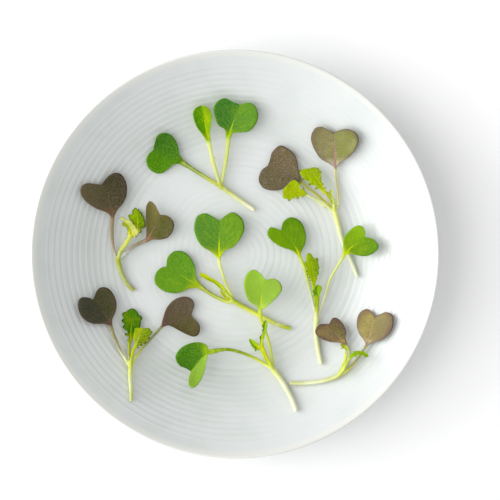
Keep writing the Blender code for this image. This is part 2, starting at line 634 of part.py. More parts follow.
# Green seedling at the right
build_seedling(
    "seedling7",
    root=[(31.4, -40.4, 1.3), (30.3, -34.8, 1.3), (29.7, -29.0, 1.3)],
    crown=(29.8, -23.3, 1.6),
    leaves=[
        Leaf(
            "seed_leaf_left", GREEN,
            stalk=[(28.7, -18.7, 1.6), (27.1, -12.1, 1.5), (25.5, -5.5, 1.5), (23.4, -0.3, 2.0)],
            vein=[(22.0, 2.6, 2.3), (19.4, 5.3, 2.0), (16.8, 8.7, 1.9)],
            left=[(20.9, 1.2), (16.9, 2.6), (13.6, 4.7), (11.8, 7.2), (12.7, 9.7),
                  (14.7, 9.5)],
            right=[(24.5, 1.5), (25.7, 3.9), (25.8, 7.7), (24.1, 11.8), (20.7, 13.5),
                   (17.8, 12.0)],
            joint=4.0, lift=(0.7, 1.0), reed=0.53,
        ),
        Leaf(
            "seed_leaf_right", GREEN,
            stalk=[(31.4, -19.8, 1.8), (33.0, -15.4, 2.1), (34.8, -9.4, 2.9), (38.0, -3.7, 4.2),
                   (40.1, -0.1, 5.0)],
            vein=[(42.5, 2.4, 4.8), (45.1, 4.4, 4.4), (47.7, 6.3, 4.0)],
            left=[(39.6, 2.4), (39.8, 5.6), (41.5, 8.1), (44.0, 10.2), (46.5, 10.3),
                  (47.7, 8.3)],
            right=[(42.4, 0.1), (45.3, -0.6), (48.4, -0.7), (51.3, 0.7), (52.7, 2.8),
                   (51.2, 5.1), (49.3, 6.0)],
            joint=4.0, lift=(0.9, 0.4), reed=0.46,
        ),
        Leaf(
            "true_leaf_back", YOUNG,
            stalk=[(29.6, -19.1, 2.9), (29.3, -14.7, 3.5), (28.8, -11.2, 3.6)],
            vein=[(28.2, -5.9, 3.3), (27.1, 0.4, 2.9)],
            left=[(27.4, -8.8), (26.0, -5.5), (25.8, -2.4)],
            right=[(29.8, -9.2), (30.4, -5.5), (29.8, -1.8), (28.2, -0.4)],
            joint=4.0, lift=(0.5, 0.6), reed=0.51, teeth=0.08, rows=9,
        ),
        Leaf(
            "true_leaf_bud", YOUNG,
            stalk=[(30.0, -20.2, 4.2), (30.3, -17.2, 5.2), (30.2, -15.4, 5.4)],
            vein=[(30.0, -13.6, 5.5), (30.3, -11.7, 5.6)],
            left=[(28.7, -14.7), (28.6, -13.1)],
            right=[(31.0, -14.5), (31.5, -12.6)],
            joint=3.7, lift=(0.4, 0.4), reed=0.51, rows=5,
        ),
    ],
)

# Purple seedling at the front right
build_seedling(
    "seedling8",
    root=[(20.2, -47.3, 1.35), (25.7, -47.3, 1.35), (31.5, -46.6, 1.35), (34.8, -45.8, 1.4)],
    crown=(37.8, -44.6, 1.6),
    leaves=[
        Leaf(
            "seed_leaf_left", PURPLE,
            stalk=[(39.8, -42.5, 2.3), (41.6, -39.4, 3.0), (42.2, -36.3, 3.5), (40.6, -33.1, 3.6)],
            vein=[(38.5, -31.0, 3.5), (36.5, -28.6, 3.4), (34.4, -25.7, 3.4)],
            left=[(38.1, -32.5), (35.2, -32.3), (31.9, -31.2), (29.6, -29.3), (29.6, -27.4),
                  (31.4, -25.8)],
            right=[(40.5, -30.8), (40.7, -28.4), (39.6, -25.7), (37.7, -23.7), (35.8, -23.5)],
            joint=6.2, lift=(0.3, 0.5), reed=0.44,
        ),
        Leaf(
            "seed_leaf_right", PURPLE,
            stalk=[(40.0, -43.4, 1.5), (43.3, -40.4, 1.5), (46.2, -36.6, 1.6), (48.3, -33.3, 1.8)],
            vein=[(49.5, -29.7, 1.5), (50.3, -26.0, 1.4), (51.3, -23.0, 1.4)],
            left=[(47.2, -31.5), (45.5, -29.2), (44.6, -26.0), (45.3, -22.2), (47.5, -20.3),
                  (49.7, -20.7)],
            right=[(50.4, -32.4), (53.2, -31.7), (56.0, -29.8), (57.9, -26.6), (57.9, -22.8),
                   (55.7, -21.3), (53.2, -22.0)],
            joint=4.4, lift=(0.7, 0.5), reed=0.53,
        ),
        Leaf(
            "true_leaf_left", YOUNG,
            stalk=[(38.9, -42.4, 1.7), (40.1, -39.6, 1.6), (40.7, -36.5, 1.5)],
            vein=[(40.3, -34.7, 1.5), (39.2, -33.1, 1.4)],
            left=[(39.7, -35.3), (38.8, -34.1)],
            right=[(41.1, -34.7), (40.3, -33.1)],
            joint=4.4, lift=(0.2, 0.2), reed=0.55, teeth=0.1, rows=5,
        ),
        Leaf(
            "true_leaf_right", YOUNG,
            stalk=[(39.5, -42.6, 3.8), (40.7, -40.3, 5.2), (42.2, -38.0, 5.5)],
            vein=[(44.2, -36.5, 5.2), (46.6, -36.5, 4.6), (48.9, -37.5, 3.8)],
            left=[(42.7, -36.7), (44.7, -35.5), (47.3, -36.0)],
            right=[(44.2, -37.7), (46.2, -37.3), (47.9, -37.9)],
            joint=5.5, lift=(0.3, 0.3), reed=0.51, teeth=0.1, rows=7,
        ),
    ],
)
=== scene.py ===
"""Mustard microgreens in a ribbed porcelain dish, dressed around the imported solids.

Metres, +Z up. The dish's axis is Z and its foot ring stands at z = 0. The seedlings are laid
out on a plan in millimetres about that axis, as seen at the rim's height from far above it.
"""

import logging
import math
from collections.abc import Callable, Sequence
from dataclasses import dataclass, field, replace
from enum import Enum
from typing import ClassVar

import bmesh
import bpy
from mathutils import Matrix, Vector, noise
from mathutils.kdtree import KDTree


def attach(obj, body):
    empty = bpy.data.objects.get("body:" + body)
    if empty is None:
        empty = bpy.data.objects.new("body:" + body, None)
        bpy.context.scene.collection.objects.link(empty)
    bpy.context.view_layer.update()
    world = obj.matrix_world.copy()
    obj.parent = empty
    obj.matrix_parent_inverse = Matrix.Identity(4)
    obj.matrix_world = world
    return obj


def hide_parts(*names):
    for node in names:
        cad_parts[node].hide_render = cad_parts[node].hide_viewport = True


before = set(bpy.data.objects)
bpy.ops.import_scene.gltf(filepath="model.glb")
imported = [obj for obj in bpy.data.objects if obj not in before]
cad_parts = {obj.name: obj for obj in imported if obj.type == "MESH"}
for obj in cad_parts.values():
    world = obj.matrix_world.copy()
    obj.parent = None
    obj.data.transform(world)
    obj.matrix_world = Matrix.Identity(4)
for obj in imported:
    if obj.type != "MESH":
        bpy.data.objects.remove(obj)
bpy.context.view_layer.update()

MM = 0.001
LOG = logging.getLogger("microgreens")
BLACK = (0.0, 0.0, 0.0)
TINY = 1e-6
# Points of the stem's line that give a point of its skin its colour
NEAREST = 3
# The Mix node's colour sockets, which share their names with its number sockets
MIX_FIRST, MIX_SECOND, MIX_RESULT = 6, 7, 2

Colour = tuple[float, float, float]
Tone = tuple[int, int, int]
Plan = tuple[float, float, float]
Spot = tuple[float, float]
Branch = tuple[list[Vector], list[float]]
Socket = bpy.types.NodeSocket


class Slot(str, Enum):
    """Material slots."""

    PORCELAIN = "porcelain"
    GREEN = "green_seed_leaf"
    PURPLE = "purple_seed_leaf"
    YOUNG = "young_true_leaf"
    STEM = "pale_stem"


def shade(red: int, green: int, blue: int) -> Colour:
    """Linear colour of a display colour from 0 to 255."""
    steps = (value / 255 for value in (red, green, blue))
    return tuple(s / 12.92 if s <= 0.04045 else ((s + 0.055) / 1.055) ** 2.4 for s in steps)


def ease(value: float, low: float, high: float) -> float:
    """Smooth step from 0 at low to 1 at high."""
    share = min(max((value - low) / (high - low), 0.0), 1.0)
    return share * share * (3 - 2 * share)


def blend(first: float, second: float, share: float) -> float:
    """Value between two others."""
    return first + (second - first) * share


class Graph:
    """A material's node tree, built a node at a time."""

    def __init__(self, name: str) -> None:
        """Start a material with a Principled shader.

        Args:
            name: The material's name.
        """
        self.material = bpy.data.materials.new(name)
        self.material.use_nodes = True
        self.tree = self.material.node_tree
        self.shader = self.tree.nodes["Principled BSDF"]
        self.place = self.tree.nodes.new("ShaderNodeTexCoord").outputs["Object"]

    def plug(self, value: object, socket: Socket) -> None:
        """Give a socket a link, a number or a colour.

        Args:
            value: An output socket, a number, or a colour of three values.
            socket: The input that takes it.
        """
        if isinstance(value, Socket):
            self.tree.links.new(value, socket)
        elif isinstance(value, tuple) and socket.type == "RGBA":
            socket.default_value = (*value, 1.0)
        else:
            socket.default_value = value

    def parts(self, value: Socket) -> list[Socket]:
        """The three numbers of a vector."""
        node = self.tree.nodes.new("ShaderNodeSeparateXYZ")
        self.tree.links.new(value, node.inputs[0])
        return list(node.outputs)

    def attribute(self, name: str) -> list[Socket]:
        """Three values that a piece stores at its vertices."""
        reader = self.tree.nodes.new("ShaderNodeAttribute")
        reader.attribute_name = name
        return self.parts(reader.outputs["Vector"])

    def tint(self, name: str) -> Socket:
        """Colour that a piece stores at its vertices."""
        reader = self.tree.nodes.new("ShaderNodeAttribute")
        reader.attribute_name = name
        return reader.outputs["Color"]

    def calc(self, operation: str, first: object, second: object = 0.0) -> Socket:
        """One step of arithmetic."""
        node = self.tree.nodes.new("ShaderNodeMath")
        node.operation = operation
        self.plug(first, node.inputs[0])
        self.plug(second, node.inputs[1])
        return node.outputs[0]

    def plus(self, first: object, second: object) -> Socket:
        """Sum of two values."""
        return self.calc("ADD", first, second)

    def times(self, first: object, second: object) -> Socket:
        """Product of two values."""
        return self.calc("MULTIPLY", first, second)

    def step(self, value: object, low: float, high: float) -> Socket:
        """Smooth step of a value from 0 at low to 1 at high.

        Args:
            value: The value to test.
            low: Where the step starts.
            high: Where the step ends. It may be lower than low.

        Returns:
            The step's output.
        """
        node = self.tree.nodes.new("ShaderNodeMapRange")
        node.interpolation_type = "SMOOTHSTEP"
        falling = low > high
        self.plug(value, node.inputs["Value"])
        node.inputs["From Min"].default_value = min(low, high)
        node.inputs["From Max"].default_value = max(low, high)
        node.inputs["To Min"].default_value = 1.0 if falling else 0.0
        node.inputs["To Max"].default_value = 0.0 if falling else 1.0
        return node.outputs["Result"]

    def mix(self, share: object, first: object, second: object) -> Socket:
        """Colour between two colours."""
        node = self.tree.nodes.new("ShaderNodeMix")
        node.data_type = "RGBA"
        self.plug(share, node.inputs["Factor"])
        self.plug(first, node.inputs[MIX_FIRST])
        self.plug(second, node.inputs[MIX_SECOND])
        return node.outputs[MIX_RESULT]

    def grain(self, size: float, detail: float = 2.0, shift: float = 0.0) -> Socket:
        """Noise about 0.5, in object coordinates.

        Args:
            size: Size of its spots, in millimetres.
            detail: Number of finer layers.
            shift: Distance in metres that tells one piece's noise from another's.

        Returns:
            The noise's output.
        """
        node = self.tree.nodes.new("ShaderNodeTexNoise")
        node.inputs["Scale"].default_value = 1 / (size * MM)
        node.inputs["Detail"].default_value = detail
        mapping = self.tree.nodes.new("ShaderNodeMapping")
        mapping.inputs["Location"].default_value = (shift, -shift, shift / 2)
        self.tree.links.new(self.place, mapping.inputs["Vector"])
        self.tree.links.new(mapping.outputs["Vector"], node.inputs["Vector"])
        return node.outputs["Fac"]

    def bump(self, height: object, distance: float, strength: float) -> None:
        """Relief on the shader.

        Args:
            height: The relief's height from 0 to 1.
            distance: Its full depth in millimetres.
            strength: How much of it shows.
        """
        node = self.tree.nodes.new("ShaderNodeBump")
        node.inputs["Strength"].default_value = strength
        node.inputs["Distance"].default_value = distance * MM
        self.plug(height, node.inputs["Height"])
        self.tree.links.new(node.outputs["Normal"], self.shader.inputs["Normal"])

    def finish(self, colour: object, roughness: object, **sockets: float) -> bpy.types.Material:
        """Set the shader and hand over the material.

        Args:
            colour: Base colour.
            roughness: Roughness.
            **sockets: Other shader inputs, with underscores for spaces.

        Returns:
            The finished material.
        """
        self.plug(colour, self.shader.inputs["Base Color"])
        self.plug(roughness, self.shader.inputs["Roughness"])
        for name, value in sockets.items():
            self.shader.inputs[name.replace("_", " ")].default_value = value
        return self.material


@dataclass(frozen=True)
class Glaze:
    """White porcelain glaze, with the bare clay of the foot ring."""

    # The glaze body's slight green cast is painted light: green bounced from the leaves.
    body: Colour = (0.695, 0.717, 0.714)
    pooled: Colour = (0.662, 0.695, 0.682)
    lip: Colour = (0.735, 0.74, 0.705)
    clay: Colour = shade(222, 216, 203)
    grit: Colour = shade(206, 198, 184)
    lip_start: float = 72.0
    lip_end: float = 73.2
    bare_height: float = 0.28
    glazed_height: float = 0.16
    pool_size: float = 14.0
    grit_size: float = 0.5
    ripple_size: float = 2.4
    ripple_depth: float = 0.02
    roughness: float = 0.22
    bare_roughness: float = 0.6

    def material(self) -> bpy.types.Material:
        """Glaze a little greener where it has pooled, and rough clay where the dish stands."""
        graph = Graph("white_glaze")
        cloud = graph.step(graph.grain(self.pool_size, 3.0), 0.42, 0.66)
        colour = graph.mix(cloud, self.body, self.pooled)
        across, along, height = graph.parts(graph.place)
        bare = graph.step(height, self.bare_height * MM, self.glazed_height * MM)
        clay = graph.mix(graph.grain(self.grit_size, 3.0), self.clay, self.grit)
        squares = (graph.times(across, across), graph.times(along, along))
        radius = graph.calc("SQRT", graph.plus(*squares))
        lip = graph.step(radius, self.lip_start * MM, self.lip_end * MM)
        colour = graph.mix(bare, graph.mix(lip, colour, self.lip), clay)
        graph.bump(graph.grain(self.ripple_size), self.ripple_depth, 0.35)
        rough = graph.plus(graph.times(bare, self.bare_roughness), self.roughness)
        return graph.finish(colour, rough, Coat_Weight=0.25, Coat_Roughness=0.08)


@dataclass(frozen=True)
class Skin:
    """Finish of a part of a plant, whose main tones differ from plant to plant."""

    main: ClassVar[tuple[str, ...]] = ()

    def toned(self, *tones: Tone, **changes: Tone | float) -> "Skin":
        """The same finish in other tones.

        Args:
            *tones: Display colours of the main regions, in order.
            **changes: Display colours or numbers of other fields.

        Returns:
            The new finish.
        """
        wanted = dict(zip(self.main, tones)) | changes
        for name, value in wanted.items():
            if isinstance(value, tuple):
                wanted[name] = shade(*value)
        return replace(self, **wanted)


@dataclass(frozen=True)
class LeafSkin(Skin):
    """Finish of one leaf and its stalk, with a colour for each region."""

    main = ("left", "right", "base", "rib", "stalk", "foot")

    slot: Slot
    # The two halves' tones are partly the leaf's own colour and partly painted light and shade: one
    # half lit, one shaded.
    left: Colour
    right: Colour
    base: Colour
    rib: Colour
    rim: Colour
    under: Colour
    stalk: Colour
    foot: Colour
    speck: Colour
    tip: Colour
    seam: float = 0.45
    grain: float = 0.3
    veins: float = 0.12
    rib_width: float = 0.3
    rib_reach: float = 0.65
    base_reach: float = 0.3
    rim_width: float = 0.28
    rim_share: float = 0.6
    margin: Colour = BLACK
    margin_share: float = 0.0
    # Pale line along the stalk's middle: a real pink flush on purple stalks and a painted highlight
    # on green ones.
    blush: Colour = BLACK
    blush_share: float = 0.0
    grain_size: float = 0.42
    vein_pairs: float = 7.0
    vein_slant: float = 0.3
    patch_size: float = 5.0
    patch_share: float = 0.12
    streak_size: float = 1.1
    streak_share: float = 0.3
    fray: float = 3.0
    fray_reach: float = 2.6
    pit_share: float = 0.6
    pit_depth: float = 0.65
    under_share: float = 0.85
    relief: float = 0.06
    dark_end: float = 1.2
    roughness: float = 0.52

    def material(self, name: str, seed: float) -> bpy.types.Material:
        """Blade whose two halves differ in tone, partly by colour and partly by painted light and
        shade, with midrib, side veins, specks, rim and toothed tips.

        Args:
            name: The material's name.
            seed: A number of its own for the leaf's noise.

        Returns:
            The material.
        """
        graph = Graph(name)
        along, across, under = graph.attribute("blade")
        offset, inset, tooth = graph.attribute("reach")
        fine = graph.grain(self.grain_size, shift=seed)
        broad = graph.grain(self.patch_size, shift=seed)
        drift = graph.calc("SUBTRACT", broad, 0.5)
        spread = graph.calc("ABSOLUTE", across)

        # Halves of two tones: partly the leaf's own colour, partly painted light and shade.
        sway = graph.plus(across, graph.times(drift, self.seam))
        body = graph.mix(graph.step(sway, -self.seam, self.seam), self.left, self.right)
        patch = graph.mix(self.patch_share, body, self.base)
        body = graph.mix(graph.step(broad, 0.45, 0.75), body, patch)
        uneven = graph.plus(along, graph.times(broad, 0.2))
        body = graph.mix(graph.step(uneven, self.base_reach + 0.1, 0.04), body, self.base)

        slanted = graph.calc("SUBTRACT", along, graph.times(spread, self.vein_slant))
        turn = graph.calc("FRACT", graph.times(slanted, self.vein_pairs))
        stripe = graph.step(graph.calc("ABSOLUTE", graph.calc("SUBTRACT", turn, 0.5)), 0.16, 0.02)
        vein = graph.times(stripe, graph.step(spread, 0.95, 0.5))
        body = graph.mix(graph.times(vein, self.veins), body, self.rib)

        width = graph.times(graph.step(along, self.rib_reach, 0.0), self.rib_width)
        middle = graph.calc("DIVIDE", graph.calc("ABSOLUTE", offset), graph.plus(width, 0.12))
        fading = graph.step(along, self.rib_reach + 0.12, self.rib_reach - 0.3)
        body = graph.mix(graph.times(graph.step(middle, 1.1, 0.5), fading), body, self.rib)

        frayed = graph.plus(inset, graph.times(drift, self.fray))
        edging = graph.times(graph.step(frayed, self.fray_reach, 0.2), self.margin_share)
        body = graph.mix(edging, body, self.margin)
        specks = graph.times(graph.step(fine, 0.47, 0.62), self.grain)
        body = graph.mix(specks, body, self.speck)
        pits = graph.times(graph.step(fine, 0.5, 0.38), self.grain * self.pit_share)
        body = graph.mix(pits, body, graph.mix(self.pit_depth, body, BLACK))
        edge = graph.times(graph.step(inset, self.rim_width, 0.04), self.rim_share)
        body = graph.mix(edge, body, self.rim)
        body = graph.mix(tooth, body, self.tip)
        body = graph.mix(graph.step(along, self.dark_end, self.dark_end + 0.06), body, self.tip)
        body = graph.mix(graph.times(under, self.under_share), body, self.under)

        streaked = graph.mix(self.streak_share, self.stalk, self.foot)
        streaks = graph.step(graph.grain(self.streak_size, shift=seed), 0.35, 0.7)
        stalk = graph.mix(streaks, self.stalk, streaked)
        stalk = graph.mix(graph.step(along, -0.35, -1.0), stalk, self.foot)
        # Stalk's middle line: real pink flush on purple stalks, painted highlight on green stalks.
        flush_and_highlight_mask = graph.times(graph.step(spread, 0.75, 0.25), self.blush_share)
        flush_and_highlight_mask = graph.times(flush_and_highlight_mask, graph.step(along, -1.1, -0.6))
        stalk = graph.mix(flush_and_highlight_mask, stalk, self.blush)
        colour = graph.mix(graph.step(along, 0.03, -0.1), body, stalk)

        graph.bump(graph.plus(fine, graph.times(vein, -0.5)), self.relief, 0.35)
        rough = graph.plus(graph.times(fine, 0.2), self.roughness - 0.1)
        return graph.finish(colour, rough, Specular_IOR_Level=0.06)


@dataclass(frozen=True)
class StemSkin(Skin):
    """Finish of a stem from its cut end to its crown."""

    main = ("root", "middle", "crown")

    cut: Colour
    root: Colour
    middle: Colour
    crown: Colour
    fleck: Colour
    streak_size: float = 0.5
    streak_share: float = 0.25
    patch_size: float = 3.5
    patch_share: float = 0.4
    relief: float = 0.05
    roughness: float = 0.45

    def material(self, name: str, seed: float) -> bpy.types.Material:
        """Pale juicy stem with fine lengthwise streaks.

        Args:
            name: The material's name.
            seed: A number of its own for the stem's noise.

        Returns:
            The material.
        """
        graph = Graph(name)
        run, sheath, _ = graph.attribute("run")
        fine = graph.grain(self.streak_size, 3.0, seed)
        broad = graph.grain(self.patch_size, shift=seed)
        colour = graph.mix(graph.step(run, 0.0, 0.5), self.root, self.middle)
        colour = graph.mix(graph.step(run, 0.5, 1.05), colour, self.crown)
        colour = graph.mix(graph.step(sheath, 0.0, 0.9), colour, graph.tint("sheath"))
        patches = graph.times(graph.step(broad, 0.5, 0.75), self.patch_share)
        colour = graph.mix(patches, colour, self.fleck)
        specks = graph.times(graph.step(fine, 0.55, 0.75), self.streak_share)
        colour = graph.mix(specks, colour, graph.mix(0.5, colour, self.fleck))
        colour = graph.mix(graph.step(run, 0.03, 0.005), colour, self.cut)
        graph.bump(fine, self.relief, 0.3)
        return graph.finish(
            colour, self.roughness, Specular_IOR_Level=0.4, Coat_Weight=0.08, Coat_Roughness=0.3)


def catmull(
    points: Sequence, count: int, start: float = 0.0, end: float | None = None,
) -> list[Vector]:
    """Evenly spaced samples of the smooth curve through some points.

    Args:
        points: The points that the curve passes.
        count: Number of steps.
        start: Distance of the first sample from the curve's start.
        end: Distance of the last one, or None for the curve's end.

    Returns:
        count + 1 samples.
    """
    knots = [Vector(point) for point in points]
    knots = [2 * knots[0] - knots[1]] + knots + [2 * knots[-1] - knots[-2]]
    track = [knots[1]]
    fine = 16
    for a, b, c, d in zip(knots, knots[1:], knots[2:], knots[3:]):
        for step in range(1, fine + 1):
            t = step / fine
            bend = (2 * a - 5 * b + 4 * c - d) * t * t + (3 * b - a - 3 * c + d) * t ** 3
            track.append(0.5 * (2 * b + (c - a) * t + bend))
    reach = [0.0]
    for here, there in zip(track, track[1:]):
        reach.append(reach[-1] + (there - here).length)
    last = reach[-1] if end is None else end
    samples = []
    k = 0
    for step in range(count + 1):
        goal = start + (last - start) * step / count
        while k < len(reach) - 2 and reach[k + 1] < goal:
            k += 1
        span = max(reach[k + 1] - reach[k], 1e-9)
        samples.append(track[k].lerp(track[k + 1], (goal - reach[k]) / span))
    return samples


@dataclass(frozen=True)
class Point:
    """A point of a ring on the plan, with what its material reads there."""

    spot: Vector
    first: Plan
    second: Plan = (0.0, 0.0, 0.0)


def wrap(
    rings: list[list[Point]], names: tuple[str, str], settle: Callable[[Vector], Vector],
) -> bmesh.types.BMesh:
    """Closed skin over rings of equally many points: a rolled grid whose ends are drawn shut.

    Args:
        rings: The rings, first and last with all points in one place.
        names: Names of the two vertex attributes.
        settle: Function from a plan point to its place in metres.

    Returns:
        The skin, which the caller frees.
    """
    around = len(rings[0])
    bm = bmesh.new()
    first = bm.verts.layers.float_vector.new(names[0])
    second = bm.verts.layers.float_vector.new(names[1])
    bmesh.ops.create_grid(bm, x_segments=around, y_segments=len(rings) - 1, size=1.0)
    grid = sorted(bm.verts, key=lambda vert: (round(vert.co.y, 5), round(vert.co.x, 5)))
    targets = {}
    for index, vert in enumerate(grid):
        row, column = divmod(index, around + 1)
        point = rings[row][column % around]
        vert.co = settle(point.spot)
        vert[first] = point.first
        vert[second] = point.second
        head = grid[row * (around + 1)]
        if vert is not head and (column == around or row in (0, len(rings) - 1)):
            targets[vert] = head
    bmesh.ops.weld_verts(bm, targetmap=targets)
    bmesh.ops.recalc_face_normals(bm, faces=bm.faces)
    return bm


def show(
    name: str, mesh: bpy.types.Mesh, material: bpy.types.Material, node: str, slot: Slot,
) -> None:
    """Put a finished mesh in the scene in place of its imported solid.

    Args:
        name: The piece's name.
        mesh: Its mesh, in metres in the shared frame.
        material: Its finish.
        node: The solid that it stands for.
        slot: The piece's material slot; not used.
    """
    mesh.name = name
    mesh.materials.clear()
    mesh.materials.append(material)
    mesh.shade_smooth()
    piece = bpy.data.objects.new(name, mesh)
    bpy.context.scene.collection.objects.link(piece)
    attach(piece, "root")
    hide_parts(node)
    LOG.info("%s: %d faces", name, len(mesh.polygons))


@dataclass(frozen=True)
class Dish:
    """Round dish with thrown ribs inside and a foot ring, in millimetres."""

    rim_radius: float = 75.0
    rim_height: float = 18.14
    floor_height: float = 5.0
    floor_edge: float = 40.0
    wall_edge: float = 54.0
    wall_slope: float = 0.55
    rib_pitch: float = 2.32
    rib_height: float = 0.034
    wall_share: float = 0.8
    rib_end: float = 70.6
    rib_steps: int = 8
    rib_level: float = 0.8
    rib_wear: float = 0.5
    rib_waver: float = 0.3
    foot_outer: float = 45.2
    foot_inner: float = 42.0
    underside: float = 1.4
    eye_height: float = 800.0
    lip_steps: int = 40
    outside_steps: int = 24
    segments: int = 256
    weld: float = 0.002

    def height(self, radius: float) -> float:
        """Height of the upper face without its ribs."""
        if radius < self.floor_edge:
            return self.floor_height
        run = radius - self.floor_edge
        bend = self.wall_edge - self.floor_edge
        if radius < self.wall_edge:
            return self.floor_height + self.wall_slope * run * run / (2 * bend)
        return self.floor_height + self.wall_slope * (run - bend / 2)

    def slope(self, radius: float) -> float:
        """Slope of the upper face: flat floor, short bend, straight wall."""
        bent = (radius - self.floor_edge) / (self.wall_edge - self.floor_edge)
        return self.wall_slope * min(max(bent, 0.0), 1.0)

    def settle(self, spot: Vector) -> Vector:
        """Place of a plan point in metres.

        Args:
            spot: Across and along on the plan, and height above the dish's face, in millimetres.

        Returns:
            The point in the shared frame.
        """
        across, along, lift = spot
        height = self.floor_height
        for _ in range(4):
            spread = 1 + (self.rim_height + 0.01 - height) / self.eye_height
            radius = math.hypot(across, along) * spread
            height = self.height(radius) + lift * math.hypot(1.0, self.slope(radius))
        return Vector((across * spread, along * spread, height)) * MM

    def profile(self) -> list[Spot]:
        """Outline from the centre over the ribs and the rim, down to the foot and back."""
        outline = []
        radius, run = 0.0, 0.0
        pace = self.rib_pitch / self.rib_steps
        while radius < self.rib_end:
            fade = ease(radius, self.rib_end, self.rib_end - 1.5)
            turns = run / self.rib_pitch
            worn = self.rib_level + self.rib_wear * noise.noise(Vector((0.7 * turns, 3.1, 0.0)))
            uneven = self.rib_waver * math.cos(math.tau * (1.9 * turns + 0.3 * worn))
            wave = worn * math.cos(math.tau * turns) + uneven
            steep = ease(radius, self.floor_edge, self.wall_edge)
            depth = self.rib_height * (1 + self.wall_share * steep)
            outline.append((radius, self.height(radius) + depth * wave * fade))
            radius += pace * math.cos(math.atan(self.slope(radius)))
            run += pace
        lip = [
            outline[-1], (72.2, self.height(72.2)), (73.1, 19.33), (73.7, 19.62), (74.15, 19.79),
            (74.45, 19.83), (74.72, 19.74), (74.92, 19.48), (self.rim_radius, 19.1), (74.94, 18.6),
            (74.6, 17.9), (73.7, 17.0),
        ]
        outline += [tuple(spot) for spot in catmull(lip, self.lip_steps)[1:]]
        outside = [
            outline[-1], (68.6, 13.6), (62.0, 9.6), (56.0, 6.0), (51.5, 3.4), (48.2, 1.9),
            (46.6, 1.2),
        ]
        outline += [tuple(spot) for spot in catmull(outside, self.outside_steps)[1:]]
        outline += [(45.9, 0.7), (45.6, 0.3), (45.35, 0.08)]
        outline += [(self.foot_outer - 0.1, 0.0), (self.foot_inner + 0.1, 0.0)]
        outline += [(41.85, 0.08), (41.6, 0.4), (41.2, 0.9), (40.4, 1.25)]
        outline += [(radius, self.underside) for radius in (39.0, 30.0, 18.0, 0.0)]
        return outline

    def build(self, glaze: Glaze) -> None:
        """Spin the outline about the axis and glaze it."""
        bm = bmesh.new()
        corners = [bm.verts.new((out * MM, 0.0, up * MM)) for out, up in self.profile()]
        lines = [bm.edges.new(pair) for pair in zip(corners, corners[1:])]
        bmesh.ops.spin(
            bm, geom=corners + lines, cent=(0, 0, 0), axis=(0, 0, 1), dvec=(0, 0, 0),
            angle=math.tau, steps=self.segments, use_merge=True, use_duplicate=False)
        bmesh.ops.remove_doubles(bm, verts=bm.verts, dist=self.weld * MM)
        bmesh.ops.recalc_face_normals(bm, faces=bm.faces)
        mesh = bpy.data.meshes.new("glazed_dish")
        bm.to_mesh(mesh)
        bm.free()
        show("glazed_dish", mesh, glaze.material(), "dish", Slot.PORCELAIN)


# Lengths of a leaf's relief, in millimetres, and the width of a lobe as a share of its stalk
STALK_PACE, FINE_PACE = 0.7, 0.3
LOBE_WIDTH = 0.022
VEIN_WIDTH, GROOVE_DEPTH = 0.25, 0.10
RIB_DEPTHS = (0.42, 0.06)
TOOTH_ROWS, TOOTH_REACH = 4, 0.75
TOOTH_LOW, TOOTH_HIGH = 0.03, 0.16
WAVE_LENGTH, RUFFLE_LENGTH = 4.5, 1.5
RUFFLE_PLANE = 7.0
THIN_END = 0.3
CUPPING = 1.4
FLAT_FROM = 0.32
NUB_TINT = 0.3


@dataclass
class Row:
    """One row across a leaf: its middle and edges on the plan, and its section."""

    middle: Vector
    left: Vector
    right: Vector
    along: float
    flat: float
    width: float
    teeth: Spot = (0.0, 0.0)


